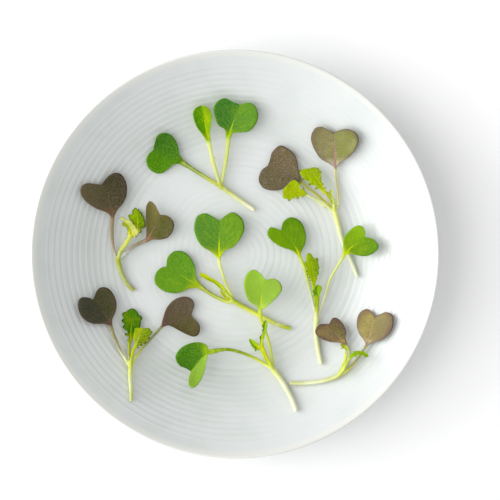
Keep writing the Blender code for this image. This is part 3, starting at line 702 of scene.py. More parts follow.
@dataclass
class Leaf:
    """One leaf with its stalk, on the plan.

    The stalk runs from the crown to the blade's base, the vein from there to the blade's tip
    or notch, and the two sides go round the blade from its base to the same end.
    """

    part: str
    skin: LeafSkin
    stalk: list[Plan]
    vein: list[Plan]
    left: list[Spot]
    right: list[Spot]
    joint: float = 3.3
    lift: Spot = (1.2, 1.2)
    reed: float = 0.53
    rows: int = 56
    columns: int = 28
    flare: float = 0.3
    heel: float = 0.0
    nubs: tuple[Plan, ...] = ()
    ruffle: float = 0.0
    wave: float = 0.16
    blade_thickness: float = 0.42
    stalk_height: float = 0.5
    lap: float = 1.2
    curl: float = 0.75

    @staticmethod
    def hand(base: Vector, sideways: Vector, side: list[Spot]) -> float:
        """1 where a side starts toward the sideways vector, -1 where it starts against it."""
        return 1.0 if (Vector(side[0]) - base.to_2d()).dot(sideways) > 0 else -1.0

    def edge(self, base: Vector, sideways: Vector, side: list[Spot]) -> list[Vector]:
        """Outline of one side, from the stalk's flank to the blade's end.

        Args:
            base: Where the blade starts.
            sideways: Unit vector across the stalk there.
            side: Points of the side.

        Returns:
            One point for each row.
        """
        toward = self.hand(base, sideways, side)
        flank = base.to_2d() + sideways * toward * self.reed * (1 + self.flare)
        line = [(*flank, 0.0)] + [(*spot, 0.0) for spot in side] + [(*self.vein[-1][:2], 0.0)]
        return catmull(line, self.rows)

    def bulge(self, along: float, flank: int) -> float:
        """How far the small lobes of the stalk stand out on one flank."""
        lobes = [lobe for lobe in self.nubs if lobe[1] == flank]
        return sum(out * math.exp(-((along - spot) / LOBE_WIDTH) ** 2) for spot, _, out in lobes)

    def stalk_rows(self, line: list[Vector], hand: float) -> list[Row]:
        """Rows of the stalk.

        Args:
            line: The stalk's middle, up to the blade's base.
            hand: 1 where the leaf's left side is on the left of its stalk, or -1.

        Returns:
            The rows in order.
        """
        rows = []
        count = len(line) - 1
        for step in range(count):
            middle = line[step]
            run = line[step + 1] - line[max(step - 1, 0)]
            across = Vector((-run.y, run.x, 0.0)).normalized() * hand
            along = step / count - 1.0
            bulge = [self.bulge(along, flank) for flank in (-1, 1)]
            widening = self.flare * ease(along, -0.4, 0.0) ** 2
            widening += self.heel * ease(along, -0.1, -0.9)
            reed = self.reed * (1 + widening)
            rows.append(Row(
                middle, middle + across * (reed + bulge[0]), middle - across * (reed + bulge[1]),
                along, 0.0, self.reed, tuple(min(1.0, out / NUB_TINT) for out in bulge)))
        return rows

    def blade_rows(self, sides: tuple[list[Vector], list[Vector]]) -> list[Row]:
        """Rows of the blade.

        Args:
            sides: Outlines of the left and the right side, with a point for each row.

        Returns:
            The rows in order.
        """
        rows = []
        vein = catmull([self.stalk[-1]] + self.vein, self.rows)
        for step, middle in enumerate(vein):
            t = step / self.rows
            inside = 0 < step < self.rows
            swell = math.sin(math.pi * t) ** self.curl if inside else 0.0
            edges, teeth = [], []
            for side, lift in zip(sides, self.lift):
                edge = side[step].copy()
                near = side[max(step - TOOTH_ROWS, 0):step + TOOTH_ROWS + 1]
                mean = sum(near, Vector()) / len(near)
                out = (edge - middle.to_2d().to_3d()).normalized()
                tooth = ease((edge - mean).dot(out), TOOTH_LOW, TOOTH_HIGH)
                teeth.append(tooth if self.ruffle else 0.0)
                edge.z = middle.z + lift * swell
                edges.append(edge)
            width = ((edges[0] - middle).length + (edges[1] - middle).length) / 2
            rows.append(Row(middle, *edges, t, ease(t, 0.0, FLAT_FROM), width, tuple(teeth)))
        return rows

    def table(self, crown: Plan) -> list[Row]:
        """Rows of the stalk and the blade.

        Args:
            crown: Where the seedling's stalks meet.

        Returns:
            The rows in order.
        """
        line = [crown] + self.stalk
        length = sum((Vector(a) - Vector(b)).length for a, b in zip(line, line[1:]))
        pace = FINE_PACE if self.nubs else STALK_PACE
        count = max(4, round((length - self.joint) / pace))
        stalk = catmull(line, count, start=self.joint - self.lap)
        base = stalk[-1]
        ahead = (base - stalk[-2]).to_2d().normalized()
        sideways = Vector((-ahead.y, ahead.x))
        sides = (self.edge(base, sideways, self.left), self.edge(base, sideways, self.right))
        hand = self.hand(base, sideways, self.left)
        return self.stalk_rows(stalk, hand) + self.blade_rows(sides)

    def ring(self, row: Row) -> list[Point]:
        """Points round one row: over the upper face from left to right, and back underneath.

        Args:
            row: The row.

        Returns:
            Twice as many points as there are columns.
        """
        points = []
        count = self.columns
        for step in range(2 * count):
            upper = step <= count
            even = -1 + 2 * step / count if upper else 3 - 2 * step / count
            across = blend(math.sin(math.pi / 2 * even), even, row.flat)
            edge = row.left if across < 0 else row.right
            out = abs(across)
            spot = row.middle.lerp(edge, out)
            span = (edge - row.middle).to_2d().length
            spot.z = row.middle.z + (edge.z - row.middle.z) * out ** CUPPING
            place = Vector((spot.x, spot.y, 0.0)) / WAVE_LENGTH
            spot.z += self.wave * row.flat * out * noise.noise(place)
            place = Vector((spot.x, spot.y, RUFFLE_PLANE)) / RUFFLE_LENGTH
            spot.z += self.ruffle * row.flat * out * noise.noise(place)
            gap = span * out
            thick = blend(
                self.stalk_height * math.sqrt(max(0.0, 1 - out * out)),
                self.blade_thickness / 2 * math.sqrt(max(0.0, 1 - out ** 8)), row.flat)
            thick *= min(1.0, row.width / THIN_END)
            ahead = max(row.along, 0.0)
            ridge = math.exp(-(gap / blend(self.reed, VEIN_WIDTH, row.flat)) ** 2)
            if upper:
                spot.z += thick - GROOVE_DEPTH * ridge * (1.0 - 0.5 * ahead)
            else:
                spot.z -= thick + blend(*RIB_DEPTHS, ahead) * row.flat * ridge
            tooth = row.teeth[0 if across < 0 else 1] * ease(span - gap, TOOTH_REACH, 0.1)
            offset = gap if across > 0 else -gap
            under = 0.0 if upper else 1.0
            points.append(Point(spot, (row.along, across, under), (offset, span - gap, tooth)))
        return points

    def build(self, name: str, crown: Plan, dish: Dish, seed: float) -> None:
        """Model and dress the leaf.

        Args:
            name: The seedling's name.
            crown: Where its stalks meet.
            dish: The dish that it lies in.
            seed: A number of its own for its noise.
        """
        rows = self.table(crown)
        rings = [self.ring(row) for row in rows]
        start = Point(rows[0].middle, (-1.0, 0.0, 0.0))
        end = Point(rows[-1].middle, (1.0, 0.0, 0.0))
        rings = [[start] * len(rings[0])] + rings[:-1] + [[end] * len(rings[0])]
        bm = wrap(rings, ("blade", "reach"), dish.settle)
        mesh = bpy.data.meshes.new(self.part)
        bm.to_mesh(mesh)
        bm.free()
        node = f"{name}_{self.part}"
        show(node + "_fresh", mesh, self.skin.material(node + "_skin", seed), node, self.skin.slot)


@dataclass
class Stem:
    """Stem from its cut end to its crown, with the sheaths of the leaf stalks."""

    skin: StemSkin
    radius: float
    sheath: float = 0.62
    sides: int = 16
    steps: int = 48
    sheath_steps: int = 10
    tip_reach: float = 0.8
    tip_share: float = 0.6
    root_share: float = 0.9
    growth: float = 0.2
    lip: float = 0.03
    voxel: float = 0.15

    def tube(self, line: list[Vector], radii: list[float]) -> list[list[Point]]:
        """Rings round a line.

        Args:
            line: Middle of the tube on the plan.
            radii: One radius for each of its points.

        Returns:
            The rings, drawn shut at both ends.
        """
        rings = []
        for index, (middle, radius) in enumerate(zip(line, radii)):
            run = line[min(index + 1, len(line) - 1)] - line[max(index - 1, 0)]
            across = Vector((-run.y, run.x, 0.0)).normalized()
            up = run.cross(across).normalized()
            ring = []
            for side in range(self.sides):
                turn = math.tau * side / self.sides
                spot = middle + (across * math.cos(turn) + up * math.sin(turn)) * radius
                ring.append(Point(spot, (0.0, 0.0, 0.0)))
            rings.append(ring)
        ends = [[Point(line[k], (0.0, 0.0, 0.0))] * self.sides for k in (0, -1)]
        return [ends[0]] + rings + [ends[1]]

    def branches(self, root: list[Plan], crown: Plan, leaves: list[Leaf]) -> list[Branch]:
        """Lines and radii of the stem and of each leaf's sheath.

        Args:
            root: Points from the cut end on.
            crown: Where the stalks meet.
            leaves: The seedling's leaves.

        Returns:
            The stem's branch, and then one for each leaf.
        """
        line = catmull(root + [crown], self.steps)
        tip = line[-1] + (line[-1] - line[-2]).normalized() * self.tip_reach
        swell = [self.growth * k / self.steps for k in range(self.steps + 1)]
        radii = [self.radius * (self.root_share + more) for more in swell]
        radii[0] *= self.root_share
        branches = [(line + [tip], radii + [self.radius * self.tip_share])]
        for leaf in leaves:
            run = catmull([crown] + leaf.stalk, self.sheath_steps, end=leaf.joint)
            mouth = max(leaf.reed, leaf.stalk_height) + self.lip
            shares = (k / self.sheath_steps for k in range(self.sheath_steps + 1))
            branches.append((run, [blend(self.sheath, mouth, share) for share in shares]))
        return branches

    def join(self, branches: list[Branch], dish: Dish) -> bpy.types.Mesh:
        """One skin over all branches, softened where they meet.

        Args:
            branches: The stem's branch and the sheaths'.
            dish: The dish that the seedling lies in.

        Returns:
            The skin, in metres.
        """
        merged = bmesh.new()
        for run, radii in branches:
            bm = wrap(self.tube(run, radii), ("run", "spare"), dish.settle)
            part = bpy.data.meshes.new("branch")
            bm.to_mesh(part)
            bm.free()
            merged.from_mesh(part)
            bpy.data.meshes.remove(part)
        rough = bpy.data.meshes.new("rough_stem")
        merged.to_mesh(rough)
        merged.free()
        mould = bpy.data.objects.new("mould", rough)
        bpy.context.scene.collection.objects.link(mould)
        remesh = mould.modifiers.new("join", "REMESH")
        remesh.mode = "VOXEL"
        remesh.voxel_size = self.voxel * MM
        soften = mould.modifiers.new("soften", "SMOOTH")
        soften.factor = 0.5
        soften.iterations = 4
        bpy.context.view_layer.update()
        final = mould.evaluated_get(bpy.context.evaluated_depsgraph_get())
        stem = bpy.data.meshes.new_from_object(final)
        bpy.data.objects.remove(mould, do_unlink=True)
        bpy.data.meshes.remove(rough)
        return stem

    @staticmethod
    def paint(
        stem: bpy.types.Mesh, branches: list[Branch], tints: list[Colour], dish: Dish,
    ) -> None:
        """Store at each vertex its share of the stem and of a sheath, and the sheath's colour.

        Args:
            stem: The skin.
            branches: The stem's branch and the sheaths'.
            tints: A colour for each branch.
            dish: The dish that the seedling lies in.
        """
        samples = []
        for number, ((run, _), tint) in enumerate(zip(branches, tints)):
            for k, spot in enumerate(run):
                share = k / (len(run) - 1)
                reach = (1.0, share) if number else (share, 0.0)
                samples.append((dish.settle(spot), *reach, tint))
        tree = KDTree(len(samples))
        for index, (spot, *_) in enumerate(samples):
            tree.insert(spot, index)
        tree.balance()
        for spare in ("run", "spare"):
            if spare in stem.attributes:
                stem.attributes.remove(stem.attributes[spare])
        stem.attributes.new("run", "FLOAT_VECTOR", "POINT")
        stem.attributes.new("sheath", "FLOAT_VECTOR", "POINT")
        for vert in stem.vertices:
            near = tree.find_n(vert.co, NEAREST)
            weights = [1 / (far + TINY) for _, _, far in near]
            total = sum(weights)
            pairs = [(weight, samples[index]) for weight, (_, index, _) in zip(weights, near)]
            mean = [sum(pull * sample[k] for pull, sample in pairs) / total for k in (1, 2)]
            tint = sum((Vector(sample[3]) * (weight / total) for weight, sample in pairs), Vector())
            stem.attributes["run"].data[vert.index].vector = (*mean, 0.0)
            stem.attributes["sheath"].data[vert.index].vector = tint

    def build(
        self, name: str, root: list[Plan], crown: Plan, leaves: list[Leaf], dish: Dish, seed: float,
    ) -> None:
        """Model the stem and its sheaths as one skin and dress it.

        Args:
            name: The seedling's name.
            root: Points from the cut end on.
            crown: Where the stalks meet.
            leaves: The seedling's leaves.
            dish: The dish that it lies in.
            seed: A number of its own for its noise.
        """
        branches = self.branches(root, crown, leaves)
        stem = self.join(branches, dish)
        tints = [self.skin.crown] + [leaf.skin.foot for leaf in leaves]
        self.paint(stem, branches, tints, dish)
        node = name + "_stem"
        show(node + "_fresh", stem, self.skin.material(node + "_skin", seed), node, Slot.STEM)


@dataclass
class Seedling:
    """One cut seedling."""

    name: str
    stem: Stem
    root: list[Plan]
    crown: Plan
    leaves: list[Leaf] = field(default_factory=list)

    def grow(self, part: str, skin: LeafSkin, **shape: object) -> None:
        """Add a leaf, given as a Leaf's fields."""
        self.leaves.append(Leaf(part, skin, **shape))

    def build(self, dish: Dish, seed: float) -> None:
        """Build the stem and every leaf.

        Args:
            dish: The dish that the seedling lies in.
            seed: A number of its own for its noise.
        """
        self.stem.build(self.name, self.root, self.crown, self.leaves, dish, seed)
        for number, leaf in enumerate(self.leaves):
            leaf.build(self.name, self.crown, dish, seed + 0.013 * (number + 1))


@dataclass(frozen=True)
class Lamp:
    """One soft light far away.

    Args:
        azimuth: Where it stands round the dish, in degrees from the right, seen from above.
        elevation: Its height, in degrees above the table.
        spread: How wide it is, in degrees.
        strength: How strong it is, in watts per square metre.
    """

    azimuth: float
    elevation: float
    spread: float
    strength: float

    def build(self, name: str) -> None:
        """Put the lamp in the scene, turned toward the dish.

        Args:
            name: The lamp's name.
        """
        lamp = bpy.data.lights.new(name, "SUN")
        lamp.energy = self.strength
        lamp.angle = math.radians(self.spread)
        height, turn = math.radians(self.elevation), math.radians(self.azimuth)
        level = math.cos(height)
        toward = Vector((math.cos(turn) * level, math.sin(turn) * level, math.sin(height)))
        light = bpy.data.objects.new(name, lamp)
        light.rotation_euler = (-toward).to_track_quat("-Z", "Y").to_euler()
        bpy.context.scene.collection.objects.link(light)


@dataclass(frozen=True)
class Studio:
    """Pale table, a broad soft light from the left and even light all round."""

    table_size: float = 8.0
    table_colour: Colour = (0.93, 0.93, 0.93)
    table_glow: float = 0.04
    lamps: tuple[Lamp, ...] = (
        Lamp(167.0, 12.0, 40.0, 1.85), Lamp(180.0, 46.0, 52.0, 1.29), Lamp(200.0, 15.0, 40.0, 0.72),
        Lamp(40.0, 36.0, 26.0, 0.12), Lamp(250.0, 32.0, 60.0, 0.32), Lamp(0.0, 90.0, 20.0, 0.10),
    )
    sky: Colour = (0.55, 0.555, 0.553)
    sky_strength: float = 1.0
    camera_spot: Plan = (5.5, 1.5, 818.15)
    lens: float = 157.0

    def table(self) -> None:
        """Level table under the dish."""
        bm = bmesh.new()
        bmesh.ops.create_grid(bm, x_segments=1, y_segments=1, size=self.table_size / 2)
        mesh = bpy.data.meshes.new("table_top")
        bm.to_mesh(mesh)
        bm.free()
        graph = Graph("white_table")
        dull = tuple(0.99 * part for part in self.table_colour)
        colour = graph.mix(graph.grain(40.0, 2.0), self.table_colour, dull)
        mesh.materials.append(graph.finish(
            colour, 0.8, Specular_IOR_Level=0.1, Emission_Color=(1.0, 1.0, 1.0, 1.0),
            Emission_Strength=self.table_glow))
        floor = bpy.data.objects.new("table_top", mesh)
        bpy.context.scene.collection.objects.link(floor)

    def lights(self) -> None:
        """The light from the left, and the room's even light."""
        for count, lamp in enumerate(self.lamps, 1):
            lamp.build(f"window_light_{count}")
        world = bpy.data.worlds.new("studio")
        world.use_nodes = True
        background = world.node_tree.nodes["Background"]
        background.inputs["Color"].default_value = (*self.sky, 1.0)
        background.inputs["Strength"].default_value = self.sky_strength
        bpy.context.scene.world = world

    def camera(self) -> None:
        """Camera straight above, level with the picture's edges."""
        data = bpy.data.cameras.new("camera")
        data.lens = self.lens
        data.sensor_width = 36.0
        data.clip_start = 0.05
        data.clip_end = 10.0
        camera = bpy.data.objects.new("camera", data)
        camera.location = Vector(self.camera_spot) * MM
        bpy.context.scene.collection.objects.link(camera)
        bpy.context.scene.camera = camera

    def build(self) -> None:
        """Set up table, lights, camera and tone."""
        self.table()
        self.lights()
        self.camera()
        bpy.context.scene.view_settings.view_transform = "Standard"


# Green stalks carry a painted highlight as a pale line along their middle.
GREEN_LEAF = LeafSkin(
    Slot.GREEN, left=shade(90, 140, 50), right=shade(110, 158, 52), base=shade(150, 185, 40),
    rib=shade(172, 200, 50), rim=shade(120, 172, 40), under=shade(140, 178, 90),
    stalk=shade(190, 205, 80), foot=shade(205, 215, 110), speck=shade(140, 182, 62),
    tip=shade(80, 120, 12), blush=shade(226, 234, 150), blush_share=0.35,
)
PURPLE_LEAF = LeafSkin(
    Slot.PURPLE, left=shade(105, 95, 68), right=shade(112, 105, 65), base=shade(140, 112, 90),
    rib=shade(150, 112, 100), rim=shade(92, 70, 60), under=shade(140, 130, 100),
    stalk=shade(170, 150, 120), foot=shade(190, 190, 120), speck=shade(172, 150, 150),
    tip=shade(70, 50, 50), grain=0.4, grain_size=0.3, margin=shade(104, 78, 72), margin_share=0.45,
    blush=shade(178, 138, 138), blush_share=0.75,
)
YOUNG_LEAF = LeafSkin(
    Slot.YOUNG, left=shade(110, 155, 10), right=shade(140, 178, 14), base=shade(165, 195, 20),
    rib=shade(200, 216, 60), rim=shade(160, 190, 40), under=shade(170, 195, 60),
    stalk=shade(185, 205, 60), foot=shade(195, 210, 80), speck=shade(185, 205, 30),
    tip=shade(70, 72, 10), veins=0.35,
)
PALE_STEM = StemSkin(
    cut=shade(225, 225, 180), root=shade(238, 242, 210), middle=shade(215, 222, 155),
    crown=shade(200, 210, 90), fleck=shade(240, 243, 215),
)

# Green seedling at the back left
BACK_LEFT = Seedling(
    "seedling1",
    Stem(PALE_STEM.toned((239, 239, 201), (217, 222, 155), (175, 187, 1)), radius=0.86),
    root=[(7.0, 16.1, 1.3), (3.3, 18.7, 1.3), (-1.1, 21.8, 1.4)],
    crown=(-5.3, 24.8, 1.6))
BACK_LEFT.grow(
    "seed_leaf_left", GREEN_LEAF.toned(
        (76, 132, 1), (57, 111, 23), (81, 120, 1), (70, 119, 1), (99, 127, 1), (194, 199, 81)),
    stalk=[(-9.2, 27.1, 1.6), (-14.3, 30.3, 1.6), (-20.0, 34.0, 1.7)],
    vein=[(-24.6, 35.9, 1.4), (-30.1, 38.2, 1.4)],
    left=[(-22.7, 32.9), (-24.6, 31.2), (-27.0, 29.6), (-29.7, 29.9), (-32.0, 31.9),
        (-32.6, 34.7), (-31.6, 36.8)],
    right=[(-20.4, 36.7), (-21.2, 40.3), (-23.3, 43.5), (-25.9, 44.5), (-28.4, 43.6),
        (-29.4, 41.3)],
    reed=0.68, flare=0.6, joint=2.9, lift=(0.6, 1.0))
BACK_LEFT.grow(
    "seed_leaf_right", GREEN_LEAF.toned(
        (63, 127, 43), (90, 140, 41), (161, 193, 1), (180, 205, 1), (195, 204, 102),
        (220, 228, 145)),
    stalk=[(-4.4, 29.3, 1.9), (-3.1, 36.3, 2.4), (-2.5, 42.9, 2.9)],
    vein=[(-1.3, 46.6, 2.8), (0.0, 50.2, 2.5), (1.8, 54.8, 2.4)],
    left=[(-3.9, 45.7), (-6.2, 47.3), (-7.5, 50.6), (-7.9, 53.7), (-6.2, 56.3), (-3.5, 57.2),
        (-0.9, 55.9)],
    right=[(-0.6, 44.3), (2.2, 44.6), (5.3, 45.1), (7.7, 47.9), (8.5, 51.2), (7.2, 54.5),
        (4.6, 55.6)],
    reed=0.68, flare=0.4, joint=3.3, lift=(1.9, 1.2))
BACK_LEFT.grow(
    "true_leaf", YOUNG_LEAF.toned(
        (72, 160, 1), (146, 178, 4), (239, 239, 1), (200, 225, 2), (221, 226, 136),
        (207, 213, 132), seam=0.3, margin=(82, 140, 16), margin_share=0.6),
    stalk=[(-6.4, 28.2, 2.6), (-8.0, 33.7, 3.4), (-9.9, 41.8, 3.4)],
    vein=[(-10.8, 46.9, 2.6), (-11.7, 51.0, 2.4), (-12.5, 54.6, 2.6)],
    left=[(-11.9, 43.6), (-14.2, 46.8), (-15.5, 51.0), (-14.7, 53.4)],
    right=[(-9.2, 44.7), (-8.6, 48.8), (-8.6, 51.5), (-10.2, 53.9)],
    reed=0.62, flare=0.5, joint=3.3, lift=(1.6, 1.9), rows=80, ruffle=0.12,
    nubs=((-0.6, -1, 0.35), (-0.54, -1, 0.55), (-0.48, -1, 0.6), (-0.44, 1, 0.4)))

# Purple seedling at the back right
BACK_RIGHT = Seedling(
    "seedling2",
    Stem(PALE_STEM.toned((221, 224, 189), (219, 222, 178), (222, 226, 118)), radius=0.84),
    root=[(44.8, -8.4, 1.3), (42.2, -1.8, 1.3), (39.3, 5.0, 1.3), (37.7, 11.0, 1.3)],
    crown=(36.5, 15.6, 1.6))
BACK_RIGHT.grow(
    "seed_leaf_left", PURPLE_LEAF.toned(
        (95, 89, 44), (103, 93, 48), (89, 100, 6), (92, 70, 70), (223, 239, 1), (239, 239, 51),
        rib_reach=0.6, grain=0.38, margin_share=0.2, speck=(172, 146, 162), rib_width=0.15,
        grain_size=0.34),
    stalk=[(33.7, 18.5, 1.6), (29.9, 21.7, 1.6), (26.4, 24.4, 1.8), (23.9, 26.8, 2.0)],
    vein=[(19.8, 28.8, 1.7), (16.1, 30.4, 1.5), (11.9, 32.4, 1.5)],
    left=[(21.3, 26.3), (19.1, 25.3), (16.9, 23.7), (13.4, 23.3), (10.1, 24.4), (8.6, 27.3),
        (9.7, 30.7)],
    right=[(23.4, 30.1), (22.3, 35.5), (19.7, 38.4), (16.5, 39.8), (13.6, 37.4), (12.7, 34.5)],
    reed=0.46, flare=0.2, joint=4.4, lift=(0.3, 0.5))
BACK_RIGHT.grow(
    "seed_leaf_right", PURPLE_LEAF.toned(
        (145, 143, 85), (134, 145, 60), (231, 218, 190), (176, 140, 124), (213, 229, 135),
        (239, 239, 168), rib_reach=1.0, rib_width=0.35, grain=0.75, speck=(112, 82, 92),
        rim=(110, 80, 84), rim_share=0.7, grain_size=0.42),
    stalk=[(37.7, 18.7, 1.6), (37.9, 22.0, 1.7), (37.0, 27.1, 1.9), (36.8, 31.9, 2.2)],
    vein=[(36.6, 38.1, 1.8), (36.3, 44.6, 1.7)],
    left=[(34.5, 33.1), (31.2, 35.1), (28.8, 38.9), (27.8, 42.7), (29.2, 46.0), (31.7, 46.7),
        (34.5, 45.4)],
    right=[(38.9, 33.8), (41.8, 35.6), (44.3, 38.6), (45.4, 41.8), (44.2, 44.6), (41.1, 45.9),
        (38.5, 45.5)],
    reed=0.44, flare=0.2, joint=3.7, lift=(1.2, 1.4))
BACK_RIGHT.grow(
    "true_leaf_left", YOUNG_LEAF.toned(
        (153, 173, 1), (154, 173, 1), (161, 183, 1), (160, 168, 4), (197, 205, 156),
        (227, 230, 161)),
    stalk=[(34.1, 17.3, 2.6), (30.4, 19.6, 3.3), (25.9, 21.9, 3.4)],
    vein=[(22.0, 22.9, 3.4), (17.5, 21.88, 3.3)],
    left=[(25.18, 21.39), (24.77, 20.74), (24.16, 21.13), (23.61, 21.13), (23.06, 20.09),
        (22.49, 20.58), (22.12, 20.88), (21.37, 20.37), (20.66, 20.15), (19.8, 19.39),
        (19.35, 19.76), (19.03, 20.21), (18.01, 20.35), (17.44, 20.82)],
    right=[(25.65, 23.06), (25.34, 24.04), (25.06, 24.53), (24.77, 23.98), (24.32, 23.79),
        (23.71, 24.12), (23.59, 24.89), (23.92, 25.71), (23.67, 26.36), (23.14, 26.08),
        (22.8, 26.63), (22.45, 27.34), (21.98, 27.14), (21.47, 27.22), (20.86, 27.03),
        (20.05, 26.32), (19.23, 25.51), (18.52, 24.79), (17.85, 24.08), (17.44, 23.06)],
    joint=5.1, lift=(0.2, 0.9), reed=0.50, heel=0.9, rows=96, ruffle=0.35)
BACK_RIGHT.grow(
    "true_leaf_back", YOUNG_LEAF.toned(
        (151, 177, 1), (118, 143, 1), (219, 221, 94), (178, 182, 1), (173, 182, 1), (170, 177, 20)),
    stalk=[(35.6, 18.9, 3.0), (33.7, 22.2, 4.2)],
    vein=[(31.2, 25.7, 4.3), (28.6, 28.8, 3.9), (26.16, 31.31, 3.6)],
    left=[(32.17, 22.25), (31.05, 23.57), (30.23, 23.98), (29.48, 23.71), (29.48, 24.49),
        (29.87, 24.89), (29.01, 25.14), (28.2, 25.36), (27.18, 25.22), (26.97, 25.81),
        (27.28, 26.28), (26.57, 26.83), (25.75, 27.1), (24.94, 27.3), (24.63, 27.85),
        (24.69, 28.4), (24.04, 29.01), (23.71, 29.89), (23.47, 30.6), (24.32, 30.97),
        (25.34, 31.21)],
    right=[(33.45, 23.06), (33.17, 23.88), (33.29, 24.57), (32.58, 24.45), (32.31, 25),
        (32.31, 25.81), (31.86, 26.22), (31.66, 26.93), (31.66, 27.95), (31.45, 28.97),
        (31.66, 29.78), (31.5, 30.5), (30.95, 30.84), (30.68, 31.41), (29.82, 31.72),
        (28.81, 31.88), (27.79, 31.62), (26.87, 31.41)],
    joint=3.3, lift=(0.5, 1.0), reed=0.50, rows=96, ruffle=0.35)
BACK_RIGHT.grow(
    "true_leaf_bud", YOUNG_LEAF.toned(
        (183, 191, 88), (183, 191, 88), (229, 227, 239), (197, 206, 96), (198, 208, 112),
        (195, 210, 80)),
    stalk=[(36.4, 17.8, 3.8), (36.1, 20.0, 5.4)],
    vein=[(35.4, 21.5, 5.8), (35.08, 23.57, 6)],
    left=[(34.96, 20.41), (34.35, 21.23), (34.02, 22.25), (34.39, 22.65), (34.55, 23.31)],
    right=[(36.3, 20.41), (35.79, 21.43), (35.69, 22.25), (35.98, 22.82), (35.61, 23.37)],
    joint=3.5, lift=(0.6, 0.6), reed=0.44, rows=72, ruffle=0.2)

# Purple seedling at the left
LEFT = Seedling(
    "seedling3",
    Stem(PALE_STEM.toned((166, 172, 73), (180, 188, 105), (172, 181, 10)), radius=0.80),
    root=[(-37.0, -13.5, 1.3), (-39.6, -11.0, 1.3), (-41.7, -7.1, 1.3)],
    crown=(-43.0, -2.5, 1.6))
LEFT.grow(
    "seed_leaf_left", PURPLE_LEAF.toned(
        (93, 86, 52), (61, 61, 27), (120, 91, 48), (114, 86, 65), (135, 139, 43), (195, 184, 166),
        grain=0.22, margin_share=0.25, seam=0.8),
    stalk=[(-44.4, 1.1, 1.6), (-45.2, 6.6, 1.6), (-45.0, 13.9, 1.8)],
    vein=[(-46.0, 18.0, 1.6), (-47.7, 21.8, 1.4), (-49.1, 25.5, 1.4)],
    left=[(-47.3, 15.3), (-51.0, 16.7), (-54.5, 19.1), (-56.6, 22.0), (-56.4, 24.8),
        (-54.1, 26.0), (-51.3, 25.7)],
    right=[(-43.3, 16.0), (-41.0, 18.8), (-39.8, 22.0), (-39.9, 25.9), (-41.6, 29.1),
        (-44.0, 29.8), (-46.6, 28.5)],
    reed=0.58, flare=0.3, joint=3.3, lift=(0.7, 0.9))
LEFT.grow(
    "seed_leaf_right", PURPLE_LEAF.toned(
        (124, 121, 48), (80, 88, 6), (172, 127, 75), (157, 130, 112), (117, 128, 32),
        (239, 239, 239), grain=0.28, margin_share=0.25),
    stalk=[(-40.2, 0.7, 1.6), (-36.7, 3.2, 1.6), (-32.5, 5.1, 1.8)],
    vein=[(-30.6, 8.3, 2.2), (-29.0, 11.4, 2.8), (-27.5, 14.4, 3.4)],
    left=[(-32.6, 8.4), (-32.7, 12.8), (-32.7, 17.2), (-31.4, 19.4), (-29.5, 18.2), (-28.3, 15.9)],
    right=[(-30.3, 5.3), (-27.5, 5.3), (-24.6, 6.2), (-22.7, 8.9), (-22.6, 11.7), (-24.4, 13.8),
        (-26.2, 14.3)],
    reed=0.60, flare=0.3, joint=4.0, lift=(3.6, 0.4))
LEFT.grow(
    "true_leaf_back", YOUNG_LEAF.toned(
        (146, 181, 1), (99, 144, 1), (237, 239, 53), (227, 239, 1), (219, 225, 28),
        (195, 210, 80), rim=(70, 62, 20), rim_width=0.6, rim_share=0.85, rib_width=0.15,
        dark_end=0.97, tip=(60, 55, 25)),
    stalk=[(-41.4, 1.5, 1.9), (-39.1, 5.1, 1.7), (-36.0, 8.3, 1.6)],
    vein=[(-35.8, 12.5, 1.5), (-36.63, 16.99, 1.4)],
    left=[(-36.75, 9.41), (-37.3, 10.63), (-37.81, 11.86), (-38.52, 12.47), (-39.03, 13.38),
        (-39.24, 14.1), (-38.87, 14.67), (-38.22, 14.46), (-37.65, 14.61), (-37.81, 15.32),
        (-37.73, 15.93), (-37.3, 16.44), (-37, 16.83)],
    right=[(-35.26, 7.68), (-34.71, 7.74), (-34.27, 8.43), (-34.59, 9), (-34.35, 9.45),
        (-33.53, 9.68), (-32.92, 10.02), (-32.96, 11.25), (-33.17, 12.47), (-33.53, 13.49),
        (-34.1, 14.4), (-34.55, 15.32), (-35.12, 15.97), (-35.33, 16.54), (-35.77, 16.3),
        (-36.18, 16.75)],
    joint=4.4, lift=(0.4, 0.4), reed=0.48, rows=96, ruffle=0.25)
LEFT.grow(
    "true_leaf_front", YOUNG_LEAF.toned(
        (136, 152, 2), (234, 239, 136), (239, 239, 52), (171, 168, 3), (214, 218, 86),
        (202, 209, 118), tip=(90, 60, 60), dark_end=0.93, rim=(120, 120, 30)),
    stalk=[(-42.2, 0.9, 3.5), (-40.0, 4.0, 4.5), (-38.1, 7.3, 4.6)],
    vein=[(-39.2, 10.5, 4.6), (-42.5, 13.24, 4)],
    left=[(-39.2, 7.27), (-39.64, 7.54), (-39.4, 8.39), (-39.54, 9), (-39.89, 9.72),
        (-40.5, 10.06), (-41.27, 10.47), (-41.52, 11.14), (-40.97, 11.82), (-40.62, 12.06),
        (-41.23, 12.57), (-41.84, 12.96)],
    right=[(-37.3, 6.56), (-36.59, 6.19), (-36.04, 6.32), (-36.28, 6.8), (-35.57, 7.13),
        (-35.33, 7.99), (-35.45, 8.8), (-36.18, 9.41), (-36.59, 10.23), (-37.3, 10.94),
        (-37.91, 11.86), (-38.73, 12.43), (-39.64, 12.63), (-40.66, 13.16), (-41.52, 13.69)],
    joint=4.4, lift=(-0.7, -0.6), reed=0.66, rows=96, ruffle=0.3,
    nubs=((-0.37, -1, 0.5), (-0.55, 1, 0.45), (-0.73, 1, 0.4)))

